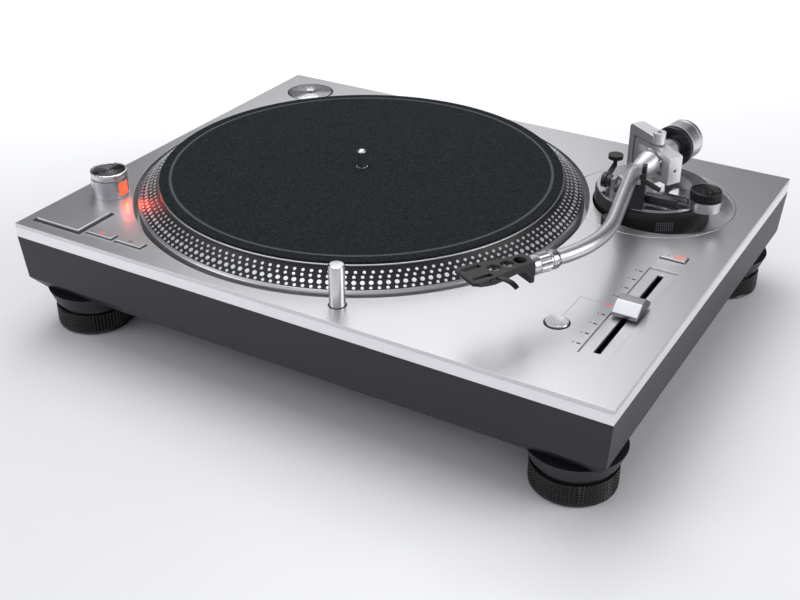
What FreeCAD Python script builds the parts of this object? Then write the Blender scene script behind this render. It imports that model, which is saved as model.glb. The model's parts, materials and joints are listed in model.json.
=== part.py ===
"""Direct drive turntable: plinth, motor, platter, controls and an S-shaped gimbal tonearm.

Frame: millimetres, +Z up, the front faces -Y, and the origin lies under the middle of the plinth.
Heights whose names end in _rise are measured up from the deck's top face.
"""
import FreeCAD, Part
import math
import os
import re
import Sketcher

# Driving sizes, written once each.
SIZES = {
    # How far joined solids run into each other
    "bite": 1.0,
    # Plinth
    "rim_left": 8.8, "rim_front": 8.8, "rim_rear": 4.8, "arm_bay": 104.8, "deck_height": 84.0,
    "plate_thick": 3.0, "frame_thick": 7.5,
    "tub_draft": 2.5, "tub_skirt_bottom": 40.0, "tub_underside": 30.0, "tub_bevel": 8.0,
    "tub_wall": 5.0, "tub_floor_top": 41.0, "tub_gap": 0.3,
    # Feet
    "foot_inset": 33.5, "foot_radius": 28.0, "foot_tall": 19.5, "foot_gap": 1.0, "foot_lip": 1.5,
    "collar_flare": 4.0, "stud_radius": 5.0, "stud_reach": 9.0, "screw_fit": 0.06,
    # Platter and motor
    "platter_radius": 166.0, "well_gap": 3.7, "well_wall": 2.0,
    "well_floor_top": 64.0, "well_floor_thick": 3.0,
    "platter_top_rise": 13.4, "rim_inset": 16.0, "rim_tall": 2.5,
    "dot_cone_top": 15.1, "dot_cone_foot": 1.8, "dot_cone_foot_rise": 2.4,
    "edge_rise": 0.8, "skirt_drop": 8.0, "skirt_wall": 6.0, "web_thick": 7.0, "hollow_inset": 18.0,
    "mat_inset": 0.6, "mat_thick": 1.8, "mat_hole_gap": 0.2,
    "spindle_radius": 3.575, "spindle_seat": 4.2, "spindle_reach": 14.0, "spindle_round": 1.6,
    "shaft_radius": 6.0, "shaft_fit": 0.05, "shaft_bottom": 45.0,
    "damper_inner": 80.0, "damper_outer": 140.0, "damper_thick": 3.0,
    "rotor_radius": 60.0, "rotor_thick": 2.0, "rotor_bottom": 76.0, "hub_radius": 16.0,
    "hub_recess": 2.0,
    "magnet_inner": 38.0, "magnet_outer": 58.0, "magnet_thick": 5.0,
    "bearing_flange": 22.0, "bearing_outer": 11.0, "bearing_top": 70.0, "bearing_foot": 4.0,
    "board_thick": 1.6, "coil_ring": 46.0, "coil_radius": 13.0, "coil_hole": 4.5,
    "coil_thick": 3.6, "coil_count": 9,
    # Power tower with the strobe lamp, and the buttons
    "tower_left": 25.5, "tower_front": 72.0, "tower_radius": 13.5, "tower_rise": 14.0,
    "knob_gap": 0.4, "knob_rise": 19.5, "knob_edge": 0.8, "knob_stem": 4.0, "stem_fit": 0.08,
    "window_wide": 9.0, "window_tall": 10.0, "window_foot_rise": 2.5, "window_depth": 4.0,
    "start_left": 29.5, "start_front": 28.0, "start_wide": 40.0, "start_deep": 33.0,
    "speed_left": 65.5, "speed_pitch": 26.0, "speed_front": 17.5, "speed_wide": 22.0,
    "speed_deep": 6.2, "button_rise": 2.0, "key_rise": 1.4, "button_gap": 0.5,
    "button_travel": 1.2, "button_bottom": 75.5, "switch_board_thick": 2.0, "switch_wide": 6.0,
    "switch_slack": 0.2, "switch_margin": 1.5,
    "reset_right": 66.0, "reset_front": 69.5, "reset_radius": 7.5,
    "range_front": 185.5, "range_wide": 17.0, "range_deep": 8.0,
    # Pitch fader
    "fader_right": 32.2, "fader_front": 105.8, "fader_wide": 20.0, "fader_long": 121.0,
    "fader_sink": 1.2, "fader_plate": 2.0, "slot_wide": 4.2, "slider_travel": 50.0,
    "slider_wide": 17.0, "slider_long": 24.0, "slider_rise": 8.5, "slider_lift": 0.4,
    "slider_waist": 8.0, "slider_edge": 2.5, "blade_wide": 2.6, "blade_long": 8.0, "blade_gap": 0.5,
    "rail_drop": 9.0, "rail_wall": 2.0, "rail_room": 2.0,
    # Stylus light and the single adaptor
    "light_right": 193.9, "light_front": 19.7, "light_radius": 5.3, "light_rise": 29.0,
    "light_travel": 28.0, "light_fit": 0.1, "light_wall": 0.7, "light_edge": 0.6, "light_rest": 1.0,
    "sleeve_deep": 42.0,
    "adaptor_left": 34.7, "adaptor_rear": 31.1, "adaptor_radius": 19.3, "adaptor_tall": 6.5,
    "adaptor_proud": 0.5, "adaptor_gap": 0.3, "adaptor_edge": 0.8, "adaptor_dish_wide": 4.5,
    "adaptor_dish_deep": 2.0, "cup_wall": 0.6, "cup_floor": 1.2,
    # Rear sockets and electronics
    "jacks_right": 126.5, "jacks_wide": 64.0, "inlet_left": 81.5, "inlet_wide": 32.0,
    "socket_bottom": 45.0, "socket_tall": 26.0, "socket_deep": 16.0, "socket_wall": 1.5,
    "jack_radius": 4.2, "jack_long": 9.0, "jack_pitch": 17.0, "jack_hole": 1.6,
    "jack_floor": 2.0, "terminal_gap": 2.0,
    "terminal_radius": 4.5, "terminal_long": 6.0, "terminal_stem": 2.0,
    "inlet_plug_wide": 20.0, "inlet_plug_tall": 12.0, "inlet_plug_long": 8.0,
    "main_board_right": 96.5, "main_board_rear": 136.5, "main_board_wide": 90.0,
    "main_board_deep": 120.0, "standoff_tall": 6.0, "standoff_radius": 3.5,
    "standoff_inset": 6.0,
    "supply_left": 76.5, "supply_rear": 116.5, "supply_wide": 90.0, "supply_deep": 60.0,
    "supply_tall": 17.0,
    # Tonearm base
    "pivot_right": 77.1, "pivot_rear": 89.3, "arm_disc_radius": 60.0, "arm_disc_gap": 0.3,
    "arm_disc_bottom": 68.0, "arm_disc_flange": 4.0, "recess_radius": 50.5, "recess_shift": 8.0,
    "recess_floor": 74.0, "ring_radius": 42.0, "ring_bore": 26.0, "ring_top_rise": 9.0,
    "ring_lift": 0.4, "base_gap": 0.4, "base_radius": 41.0, "base_top_rise": 13.0,
    "base_step": 1.6, "base_hub": 27.5,
    "column_radius": 23.5, "column_fit": 0.08,
    "lock_out": 54.0, "lock_bearing": -104.0, "lock_radius": 5.5, "lock_tall": 6.0,
    "lock_lift": 0.3, "lock_stem": 2.5, "lock_edge": 1.0,
    "skate_dx": 43.0, "skate_dy": -15.0, "skate_radius": 11.0, "skate_tall": 6.0,
    "skate_plate_rise": 18.6, "skate_gap": 0.4, "skate_stem": 3.0, "skate_arm_deep": 12.0,
    "skate_arm_start": 18.0, "skate_lobe": 1.5, "skate_cap": 1.0,
    # Tonearm
    "arm_axis_rise": 34.0, "rest_yaw": -7.0, "offset_angle": 22.0, "arm_reach": 230.0,
    "crank_angle": 19.3, "first_leg": 37.3, "tube_radius": 5.0, "tube_wall": 1.4, "first_bend": 20.0,
    "second_bend": 90.0, "tube_start": 32.0, "shell_back": 38.0, "collar_long": 21.0,
    "collar_radius": 6.6, "collar_fit": 0.1, "plug_radius": 3.9, "plug_long": 12.0,
    "plug_fit": 0.1, "collar_stand": 0.4,
    "frame_left": 25.5, "frame_right": 6.0, "frame_deep": 10.5, "frame_post": 4.8,
    "frame_gap": 0.8, "frame_foot": 4.5, "frame_top_rise": 53.2, "frame_slope": 1.8,
    "frame_corner": 3.0, "boss_radius": 4.8, "boss_tall": 2.4,
    "gimbal_left": 19.3, "gimbal_post": 4.7, "gimbal_deep": 9.5, "gimbal_low": 12.9,
    "gimbal_high": 10.7, "gimbal_beam": 3.7, "gimbal_corner": 1.5, "gimbal_slope_start": 2.0,
    "gimbal_box_in": 12.5, "gimbal_box_out": 19.8, "gimbal_box_deep": 12.0,
    "gimbal_box_high": 7.3,
    "pitch_drop": 3.0, "pivot_radius": 1.5, "pivot_fit": 0.05, "pivot_bite": 3.0,
    "block_half": 8.6, "block_radius": 5.6, "block_back": 19.5, "cheek_radius": 5.3,
    "housing_radius": 9.0, "housing_back": 13.0, "housing_neck": 27.0, "housing_nose": 6.0,
    "neck_radius": 7.5, "neck_start": 12.0,
    "weight_shaft_radius": 4.0, "weight_front": 23.5,
    "dial_thick": 5.0, "dial_radius": 15.3, "weight_long": 16.5, "weight_radius": 14.8,
    "core_radius": 7.0, "core_fit": 0.06, "weight_travel": 3.0, "dial_gap": 0.3,
    "rest_along": 5.0, "rest_long": 6.0, "rest_gap": 2.4, "rest_drop": 1.1, "rest_half": 7.5,
    "rest_wall": 3.0, "rest_over": 5.5, "clamp_rise": 4.0, "clamp_radius": 2.4, "clamp_pin": 1.2,
    "clamp_fit": 0.08, "clamp_wide": 3.6, "clamp_gap": 0.3, "clamp_long": 15.0, "clamp_thick": 2.4,
    "clamp_hang": 205.0,
    "shell_front": 9.0, "shell_corner": 3.0, "shell_corner_in": 2.0, "shell_taper": 1.0,
    "shell_neck": 16.0, "shell_front_half": 11.5, "shell_rear_half": 6.5, "shell_plate": 2.2,
    "shell_top": 6.2, "shell_flange": 3.0, "shell_flange_drop": 8.0,
    "cartridge_pitch": 12.7, "cartridge_slot": 3.4, "cartridge_slot_long": 13.0,
    "shell_hole": 4.1, "shell_hole_pitch": 9.5, "lift_reach": 16.0, "lift_wide": 4.0,
    "lift_thick": 1.2, "lift_along": 4.5, "lift_sink": 0.5, "lift_bite": 2.0,
    # Cueing
    "cue_dx": -29.0, "cue_dy": -23.0, "cue_rise": 19.0, "cue_disc_radius": 5.6,
    "cue_disc_thick": 3.0, "cue_hub_radius": 4.4, "cue_hub_long": 4.0, "cue_hub_gap": 0.3,
    "cue_post_half": 3.4,
    "cue_pin_radius": 1.5, "cue_pin_fit": 0.08, "cue_arm_thick": 3.0, "cue_knob_dx": -33.0,
    "cue_knob_dy": 6.0, "cue_knob_rise": 24.0, "cue_knob_radius": 5.5, "cue_knob_thick": 3.0,
    "lifter_radius": 26.0, "lifter_wide": 3.2, "lifter_sweep": 62.0, "lifter_thick": 3.0,
    "lifter_top_rise": 22.0, "lifter_stem": 1.5, "lifter_fit": 0.08,
    "lifter_bearing": -114.0, "lifter_boss_tall": 3.5, "lifter_boss_wall": 2.0,
}

# Places and sizes worked out from the driving ones.
DERIVED = {
    "well_radius": "platter_radius + well_gap",
    "deck_width": "rim_left + 2 * well_radius + arm_bay",
    "deck_depth": "rim_front + 2 * well_radius + rim_rear",
    "platter_x": "rim_left + well_radius - deck_width / 2",
    "platter_y": "(rim_front - rim_rear) / 2",
    "rim_radius": "platter_radius - rim_inset",
    "dot_cone_inner": "platter_radius - dot_cone_top",
    "dot_cone_outer": "platter_radius - dot_cone_foot",
    "hollow_radius": "platter_radius - hollow_inset",
    "mat_radius": "rim_radius - mat_inset",
    "tower_x": "tower_left - deck_width / 2", "tower_y": "tower_front - deck_depth / 2",
    "start_x": "start_left - deck_width / 2", "start_y": "start_front - deck_depth / 2",
    "speed_x": "speed_left - deck_width / 2", "speed_y": "speed_front - deck_depth / 2",
    "reset_x": "deck_width / 2 - reset_right", "reset_y": "reset_front - deck_depth / 2",
    "fader_x": "deck_width / 2 - fader_right", "fader_y": "fader_front - deck_depth / 2",
    "range_x": "fader_x", "range_y": "range_front - deck_depth / 2",
    "light_x": "deck_width / 2 - light_right", "light_y": "light_front - deck_depth / 2",
    "adaptor_x": "adaptor_left - deck_width / 2", "adaptor_y": "deck_depth / 2 - adaptor_rear",
    "jacks_x": "deck_width / 2 - jacks_right", "inlet_x": "inlet_left - deck_width / 2",
    "main_board_x": "deck_width / 2 - main_board_right",
    "main_board_y": "deck_depth / 2 - main_board_rear",
    "supply_x": "supply_left - deck_width / 2", "supply_y": "deck_depth / 2 - supply_rear",
    "pivot_x": "deck_width / 2 - pivot_right", "pivot_y": "deck_depth / 2 - pivot_rear",
    "band_bottom": "deck_height - plate_thick - frame_thick",
    "frame_top": "deck_height - plate_thick",
    "well_outer": "well_radius + well_wall",
    "well_bottom": "well_floor_top - well_floor_thick",
    "foot_x": "deck_width / 2 - foot_inset",
    "foot_y": "deck_depth / 2 - foot_inset",
    "platter_top": "deck_height + platter_top_rise",
    "platter_web": "platter_top - web_thick",
    "mat_top": "platter_top + mat_thick",
    "spindle_top": "mat_top + spindle_reach",
    "board_top": "well_floor_top + board_thick",
    "switch_top": "button_bottom - button_travel - switch_slack",
    "arm_axis_z": "deck_height + arm_axis_rise",
    "base_bottom_rise": "ring_top_rise + base_gap",
    "shell_angle": "rest_yaw - offset_angle",
    "stylus_x": "pivot_x + arm_reach * sin(rest_yaw * 1 deg)",
    "stylus_y": "pivot_y - arm_reach * cos(rest_yaw * 1 deg)",
    "base_rim_rise": "base_top_rise - base_step",
    "frame_low": "base_top_rise - arm_axis_rise",
    "rest_low": "base_rim_rise - arm_axis_rise",
    "frame_high": "frame_top_rise - arm_axis_rise",
    "frame_under": "gimbal_high + frame_gap",
    "boss_top": "frame_high - frame_slope + boss_tall",
    "main_board_bottom": "tub_floor_top + standoff_tall",
    "spindle_step": "mat_top + mat_hole_gap",
    "hub_top": "platter_web - hub_recess",
    "weight_end": "weight_front + dial_thick + weight_long",
    "rear_face": "deck_depth / 2 - tub_draft - socket_wall",
}

doc = FreeCAD.newDocument("turntable")
sheet = doc.addObject("Spreadsheet::Sheet", "sizes")
for row, (alias, number) in enumerate(SIZES.items(), start=1):
    sheet.set(f"A{row}", alias)
    sheet.set(f"B{row}", str(number))
    sheet.setAlias(f"B{row}", alias)
doc.recompute()

pieces = []


def expr(text):
    """Write a formula of named sizes in the sheet's terms."""
    def swap(match):
        word = match.group()
        if word in SIZES:
            return "sizes." + word
        if word in DERIVED:
            return "(" + expr(DERIVED[word]) + ")"
        return word
    return re.sub(r"[a-z][a-z0-9_]*", swap, str(text))


def bind(obj, **formulas):
    """Tie properties to formulas; two underscores in a name stand for a dot."""
    for prop, text in formulas.items():
        obj.setExpression(prop.replace("__", "."), expr(text))


def at(obj, x=0, y=0, z=0):
    """Tie an object's position."""
    bind(obj, Placement__Base__x=x, Placement__Base__y=y, Placement__Base__z=z)
    return obj


def size(name):
    """The sheet's value of a size, for the few places that need a plain number."""
    return float(sheet.get(name))


AXIS_TURN = {
    "X": FreeCAD.Rotation(FreeCAD.Vector(0, 1, 0), 90),
    "Y": FreeCAD.Rotation(FreeCAD.Vector(1, 0, 0), -90),
    "Z": FreeCAD.Rotation(),
}


def cylinder(name, x, y, z, radius, tall, axis="Z"):
    """A cylinder that starts at a point and runs along an axis."""
    obj = doc.addObject("Part::Cylinder", name)
    obj.Placement = FreeCAD.Placement(FreeCAD.Vector(), AXIS_TURN[axis])
    bind(obj, Radius=radius, Height=tall)
    return at(obj, x, y, z)


def cone(name, x, y, z, low, high, tall):
    """An upright cone frustum."""
    obj = doc.addObject("Part::Cone", name)
    bind(obj, Radius1=low, Radius2=high, Height=tall)
    return at(obj, x, y, z)


def box(name, x, y, z, wide, deep, tall):
    """A box centred in x and y that stands on z."""
    obj = doc.addObject("Part::Box", name)
    bind(obj, Length=wide, Width=deep, Height=tall)
    return at(obj, f"({x}) - ({wide}) / 2", f"({y}) - ({deep}) / 2", z)


def fuse(name, *parts):
    """Join solids into one."""
    obj = doc.addObject("Part::MultiFuse", name)
    obj.Shapes = list(parts)
    return obj


def group(name, *parts):
    """Keep equal pieces together as separate solids."""
    obj = doc.addObject("Part::Compound", name)
    obj.Links = list(parts)
    return obj


def cut(name, base, *tools):
    """Take tools away from a solid."""
    obj = doc.addObject("Part::Cut", name)
    obj.Base = base
    obj.Tool = tools[0] if len(tools) == 1 else fuse(name + "_tools", *tools)
    return obj


def sketch_outline(sketch, points):
    """Draw a closed outline whose corners are tied to formulas."""
    spots = [FreeCAD.Vector(10.0 * math.cos(k), 10.0 * math.sin(k), 0) for k in range(len(points))]
    count = len(points)
    for k in range(count):
        sketch.addGeometry(Part.LineSegment(spots[k], spots[(k + 1) % count]), False)
    for k in range(count):
        sketch.addConstraint(Sketcher.Constraint("Coincident", k, 2, (k + 1) % count, 1))
    for k, corner in enumerate(points):
        for kind, text in zip(("DistanceX", "DistanceY"), corner):
            index = sketch.addConstraint(Sketcher.Constraint(kind, -1, 1, k, 1, 1.0))
            sketch.setExpression(f"Constraints[{index}]", expr(text))


def new_sketch(body, role):
    """A sketch on one of the body's own origin planes."""
    plane = [item for item in body.Origin.OriginFeatures if item.Role == role][0]
    sketch = body.newObject("Sketcher::SketchObject", body.Name + "_outline")
    sketch.AttachmentSupport = [(plane, "")]
    sketch.MapMode = "FlatFace"
    return sketch


def turned(name, profile, axis="Z"):
    """A turned body: the profile lists radius and place along the axis."""
    body = doc.addObject("PartDesign::Body", name)
    sketch = new_sketch(body, "XZ_Plane" if axis == "Z" else "XY_Plane")
    if axis == "X":
        profile = [(along, radius) for radius, along in profile]
    sketch_outline(sketch, profile)
    feature = body.newObject("PartDesign::Revolution", name + "_turn")
    feature.Profile = sketch
    feature.ReferenceAxis = (sketch, ["H_Axis" if axis == "X" else "V_Axis"])
    feature.Angle = 360.0
    return body


def padded(name, outline, start, thick, role="XY_Plane"):
    """A plate with the given outline, raised from a start along its plane's normal."""
    body = doc.addObject("PartDesign::Body", name)
    sketch = new_sketch(body, role)
    sketch_outline(sketch, outline)
    bind(sketch, AttachmentOffset__Base__z=start)
    feature = body.newObject("PartDesign::Pad", name + "_pad")
    feature.Profile = sketch
    bind(feature, Length=thick)
    return body


def upright(name, outline, deep):
    """A plate whose outline lies in x and z, centred on y = 0."""
    return padded(name, outline, f"-({deep}) / 2", deep, "XZ_Plane")


def spun(obj, angle):
    """Turn an unplaced object about the z axis."""
    obj.Placement = FreeCAD.Placement(FreeCAD.Vector(), FreeCAD.Rotation(FreeCAD.Vector(0, 0, 1), 1))
    bind(obj, Placement__Rotation__Angle=angle)
    return obj


FRAMES = {
    "deck": ("0", "0", "0", None),
    "platter": ("platter_x", "platter_y", "0", None),
    "base": ("pivot_x", "pivot_y", "deck_height", None),
    "arm": ("pivot_x", "pivot_y", "arm_axis_z", "rest_yaw"),
    "yoke": ("pivot_x", "pivot_y", "arm_axis_z", "shell_angle"),
    "shell": ("stylus_x", "stylus_y", "arm_axis_z", "shell_angle"),
}


def keep(label, obj, frame="deck"):
    """Name a finished piece and set it into its frame."""
    x, y, z, angle = FRAMES[frame]
    obj.Label = label
    if frame != "deck":
        if angle is not None:
            obj.Placement = FreeCAD.Placement(FreeCAD.Vector(), FreeCAD.Rotation(FreeCAD.Vector(0, 0, 1), 1))
            bind(obj, Placement__Rotation__Angle=angle)
        at(obj, x, y, z)
    pieces.append(obj)
    return obj


CORNERS = {"front_left": (-1, -1), "front_right": (1, -1), "rear_left": (-1, 1), "rear_right": (1, 1)}


def make_plinth():
    """Top plate, die-cast frame with the platter well, and the heavy base tub."""
    def openings(tag, low, tall):
        """Every hole that the plate and the frame share."""
        arm_hole = cut(tag + "_arm_hole",
                       cylinder(tag + "_arm_round", "pivot_x", "pivot_y", low,
                                "arm_disc_radius + arm_disc_gap", tall),
                       cylinder(tag + "_arm_limit", "platter_x", "platter_y", low, "well_radius - bite",
                                tall))
        return [
            cylinder(tag + "_well", "platter_x", "platter_y", low, "well_radius", tall),
            arm_hole,
            cylinder(tag + "_adaptor_hole", "adaptor_x", "adaptor_y", low,
                     "adaptor_radius + adaptor_gap + cup_wall", tall),
            cylinder(tag + "_light_hole", "light_x", "light_y", low,
                     "light_radius + light_fit + light_wall", tall),
            cylinder(tag + "_stem_hole", "tower_x", "tower_y", low, "knob_stem + stem_fit", tall),
            cylinder(tag + "_reset_hole", "reset_x", "reset_y", low, "reset_radius + button_gap", tall),
            box(tag + "_start_hole", "start_x", "start_y", low, "start_wide + 2 * button_gap",
                "start_deep + 2 * button_gap", tall),
            box(tag + "_speed_hole_low", "speed_x", "speed_y", low, "speed_wide + 2 * button_gap",
                "speed_deep + 2 * button_gap", tall),
            box(tag + "_speed_hole_high", "speed_x + speed_pitch", "speed_y", low,
                "speed_wide + 2 * button_gap", "speed_deep + 2 * button_gap", tall),
            box(tag + "_range_hole", "range_x", "range_y", low, "range_wide + 2 * button_gap",
                "range_deep + 2 * button_gap", tall),
            box(tag + "_fader_hole", "fader_x", "fader_y", low, "fader_wide", "fader_long", tall),
        ]

    plate = box("plate_block", 0, 0, "frame_top", "deck_width", "deck_depth", "plate_thick")
    keep("top_plate", cut("top_plate", plate, *openings("plate", "frame_top", "plate_thick")))

    slab = box("frame_block", 0, 0, "band_bottom", "deck_width", "deck_depth", "frame_thick")
    bowl = cylinder("frame_bowl", "platter_x", "platter_y", "well_bottom", "well_outer",
                    "band_bottom - well_bottom")
    bowl_room = cylinder("frame_bowl_room", "platter_x", "platter_y", "well_floor_top", "well_radius",
                         "frame_top - well_floor_top")
    motor_hole = cylinder("frame_motor_hole", "platter_x", "platter_y", "well_bottom",
                          "bearing_outer + arm_disc_gap", "well_floor_thick")
    keep("cabinet_frame", cut("cabinet_frame", fuse("frame_body", slab, bowl), bowl_room, motor_hole,
                              *openings("frame", "band_bottom", "frame_thick")))

    def wedge(name, low, high, low_inset, high_inset):
        """A block whose four sides lean in from one inset to another."""
        obj = doc.addObject("Part::Wedge", name)
        obj.Placement = FreeCAD.Placement(FreeCAD.Vector(), FreeCAD.Rotation(FreeCAD.Vector(1, 0, 0), 90))
        bind(obj, Ymin=low, Ymax=high,
             Xmin=f"-deck_width / 2 + {low_inset}", Xmax=f"deck_width / 2 - ({low_inset})",
             Zmin=f"-deck_depth / 2 + {low_inset}", Zmax=f"deck_depth / 2 - ({low_inset})",
             X2min=f"-deck_width / 2 + {high_inset}", X2max=f"deck_width / 2 - ({high_inset})",
             Z2min=f"-deck_depth / 2 + {high_inset}", Z2max=f"deck_depth / 2 - ({high_inset})")
        return obj

    solids = [
        wedge("tub_skirt", "tub_skirt_bottom", "band_bottom", "tub_draft", "0"),
        wedge("tub_bevelled", "tub_underside", "tub_skirt_bottom", "(tub_draft + tub_bevel)", "tub_draft"),
    ]
    room = box("tub_room", 0, 0, "tub_floor_top", "deck_width - 2 * tub_wall",
               "deck_depth - 2 * tub_wall", "band_bottom - tub_floor_top")
    stand = [
        cylinder(f"tub_standoff_{side}_{end}",
                 f"main_board_x + {side} * (main_board_wide / 2 - standoff_inset)",
                 f"main_board_y + {end} * (main_board_deep / 2 - standoff_inset)", "tub_floor_top",
                 "standoff_radius", "standoff_tall")
        for side in (-1, 1) for end in (-1, 1)
    ]
    holes = []
    for corner, (side, end) in CORNERS.items():
        place = (f"{side} * foot_x", f"{end} * foot_y")
        solids.append(cone(f"tub_collar_{corner}", *place, "foot_tall + foot_gap", "foot_radius",
                           "foot_radius + collar_flare", "tub_underside - foot_tall - foot_gap + bite"))
        holes.append(cylinder(f"tub_stud_hole_{corner}", *place, "foot_tall",
                              "stud_radius + screw_fit", "foot_gap + stud_reach + bite"))
    for tag, x, wide in (("jacks", "jacks_x", "jacks_wide"), ("inlet", "inlet_x", "inlet_wide")):
        holes.append(box(f"tub_{tag}_hole", x, "deck_depth / 2 - tub_wall", "socket_bottom", wide,
                         "4 * tub_wall", "socket_tall"))
    bowl_room = cylinder("tub_bowl_room", "platter_x", "platter_y", "well_bottom - tub_gap",
                         "well_outer + tub_gap", "band_bottom - well_bottom + tub_gap")
    shell = cut("tub_shell", fuse("tub_body", *solids), room, bowl_room)
    keep("base_tub", cut("base_tub", fuse("tub_with_standoffs", shell, *stand), *holes))


def make_feet():
    """Four screw-in feet, each a broad ring on a threaded stud."""
    for corner, (side, end) in CORNERS.items():
        foot = turned(f"foot_{corner}", [
            ("0", "0"), ("foot_radius - foot_lip", "0"), ("foot_radius", "foot_lip"),
            ("foot_radius", "foot_tall"), ("stud_radius", "foot_tall"),
            ("stud_radius", "foot_tall + foot_gap + stud_reach"), ("0", "foot_tall + foot_gap + stud_reach"),
        ])
        at(foot, f"{side} * foot_x", f"{end} * foot_y", 0)
        keep(f"foot_{corner}", foot)


def make_motor():
    """Bearing housing, stator board and coils on the well floor."""
    keep("bearing_housing", turned("bearing_housing", [
        ("shaft_radius + shaft_fit", "tub_floor_top + bearing_foot"),
        ("0", "tub_floor_top + bearing_foot"), ("0", "tub_floor_top"), ("bearing_flange", "tub_floor_top"),
        ("bearing_flange", "tub_floor_top + bearing_foot"),
        ("bearing_outer", "tub_floor_top + bearing_foot"),
        ("bearing_outer", "bearing_top"), ("shaft_radius + shaft_fit", "bearing_top"),
    ]), "platter")
    keep("motor_board", turned("motor_board", [
        ("bearing_outer + arm_disc_gap", "well_floor_top"), ("rotor_radius", "well_floor_top"),
        ("rotor_radius", "board_top"), ("bearing_outer + arm_disc_gap", "board_top"),
    ]), "platter")
    coils = []
    for k in range(int(size("coil_count"))):
        turn = f"({k} * 360 / coil_count) * 1 deg"
        place = (f"coil_ring * cos({turn})", f"coil_ring * sin({turn})", "board_top")
        coils.append(cut(f"coil_{k}", cylinder(f"coil_round_{k}", *place, "coil_radius", "coil_thick"),
                         cylinder(f"coil_eye_{k}", *place, "coil_hole", "coil_thick")))
    keep("motor_coils", group("motor_coils", *coils), "platter")


def make_rotor():
    """Spindle, rotor and magnet, the platter with its dotted rim, its damping ring and the mat."""
    keep("spindle", turned("spindle", [
        ("0", "shaft_bottom"), ("shaft_radius", "shaft_bottom"), ("shaft_radius", "hub_top"),
        ("spindle_seat", "hub_top"),
        ("spindle_seat", "spindle_step"), ("spindle_radius", "spindle_step"),
        ("spindle_radius", "spindle_top - spindle_round"),
        ("spindle_radius - spindle_round", "spindle_top - spindle_round / 4"), ("0", "spindle_top"),
    ]), "platter")
    keep("rotor_hub", turned("rotor_hub", [
        ("shaft_radius", "rotor_bottom"), ("rotor_radius", "rotor_bottom"),
        ("rotor_radius", "rotor_bottom + rotor_thick"), ("hub_radius", "rotor_bottom + rotor_thick"),
        ("hub_radius", "platter_web"), ("spindle_seat", "platter_web"),
        ("spindle_seat", "hub_top"), ("shaft_radius", "hub_top"),
    ]), "platter")
    keep("rotor_magnet", turned("rotor_magnet", [
        ("magnet_inner", "rotor_bottom - magnet_thick"), ("magnet_outer", "rotor_bottom - magnet_thick"),
        ("magnet_outer", "rotor_bottom"), ("magnet_inner", "rotor_bottom"),
    ]), "platter")
    skirt_inner = "(platter_radius - skirt_wall)"
    keep("platter", turned("platter", [
        ("spindle_seat", "platter_web"), ("spindle_seat", "platter_top"),
        ("rim_radius", "platter_top"), ("dot_cone_inner", "platter_top - rim_tall"),
        ("dot_cone_outer", "deck_height + dot_cone_foot_rise"), ("platter_radius", "deck_height + edge_rise"),
        ("platter_radius", "deck_height - skirt_drop"), (skirt_inner, "deck_height - skirt_drop"),
        (skirt_inner, "deck_height"), ("hollow_radius", "platter_web"),
    ]), "platter")
    keep("platter_damper", turned("platter_damper", [
        ("damper_inner", "platter_web - damper_thick"), ("damper_outer", "platter_web - damper_thick"),
        ("damper_outer", "platter_web"), ("damper_inner", "platter_web"),
    ]), "platter")
    mat_hole = "spindle_seat + mat_hole_gap"
    keep("slipmat", turned("slipmat", [
        (mat_hole, "platter_top"), ("mat_radius", "platter_top"), ("mat_radius", "mat_top"),
        (mat_hole, "mat_top"),
    ]), "platter")


def make_power_tower():
    """Strobe lamp tower with its window, and the power knob on top."""
    window_face = "tower_radius - window_depth"
    pocket = box("tower_pocket", "tower_x + tower_radius - window_depth / 2", "tower_y",
                 "deck_height + window_foot_rise", "window_depth", "window_wide", "window_tall")
    bore = cylinder("tower_bore", "tower_x", "tower_y", "deck_height", "knob_stem + stem_fit", "tower_rise")
    tower = cylinder("tower_round", "tower_x", "tower_y", "deck_height", "tower_radius", "tower_rise")
    keep("strobe_tower", cut("strobe_tower", tower, pocket, bore))
    round_face = cylinder("window_round", "tower_x", "tower_y", "deck_height + window_foot_rise",
                          "tower_radius", "window_tall")
    slab = box("window_slab", f"tower_x + {window_face} + window_depth / 2", "tower_y",
               "deck_height + window_foot_rise", "window_depth", "window_wide", "window_tall")
    window = doc.addObject("Part::Common", "strobe_window")
    window.Base = round_face
    window.Tool = slab
    keep("strobe_window", window)
    knob = turned("power_knob", [
        ("0", "band_bottom"), ("knob_stem", "band_bottom"),
        ("knob_stem", "deck_height + tower_rise + knob_gap"),
        ("tower_radius", "deck_height + tower_rise + knob_gap"),
        ("tower_radius", "deck_height + knob_rise - knob_edge"),
        ("tower_radius - knob_edge", "deck_height + knob_rise"), ("0", "deck_height + knob_rise"),
    ])
    at(knob, "tower_x", "tower_y", 0)
    keep("power_knob", knob)


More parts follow.
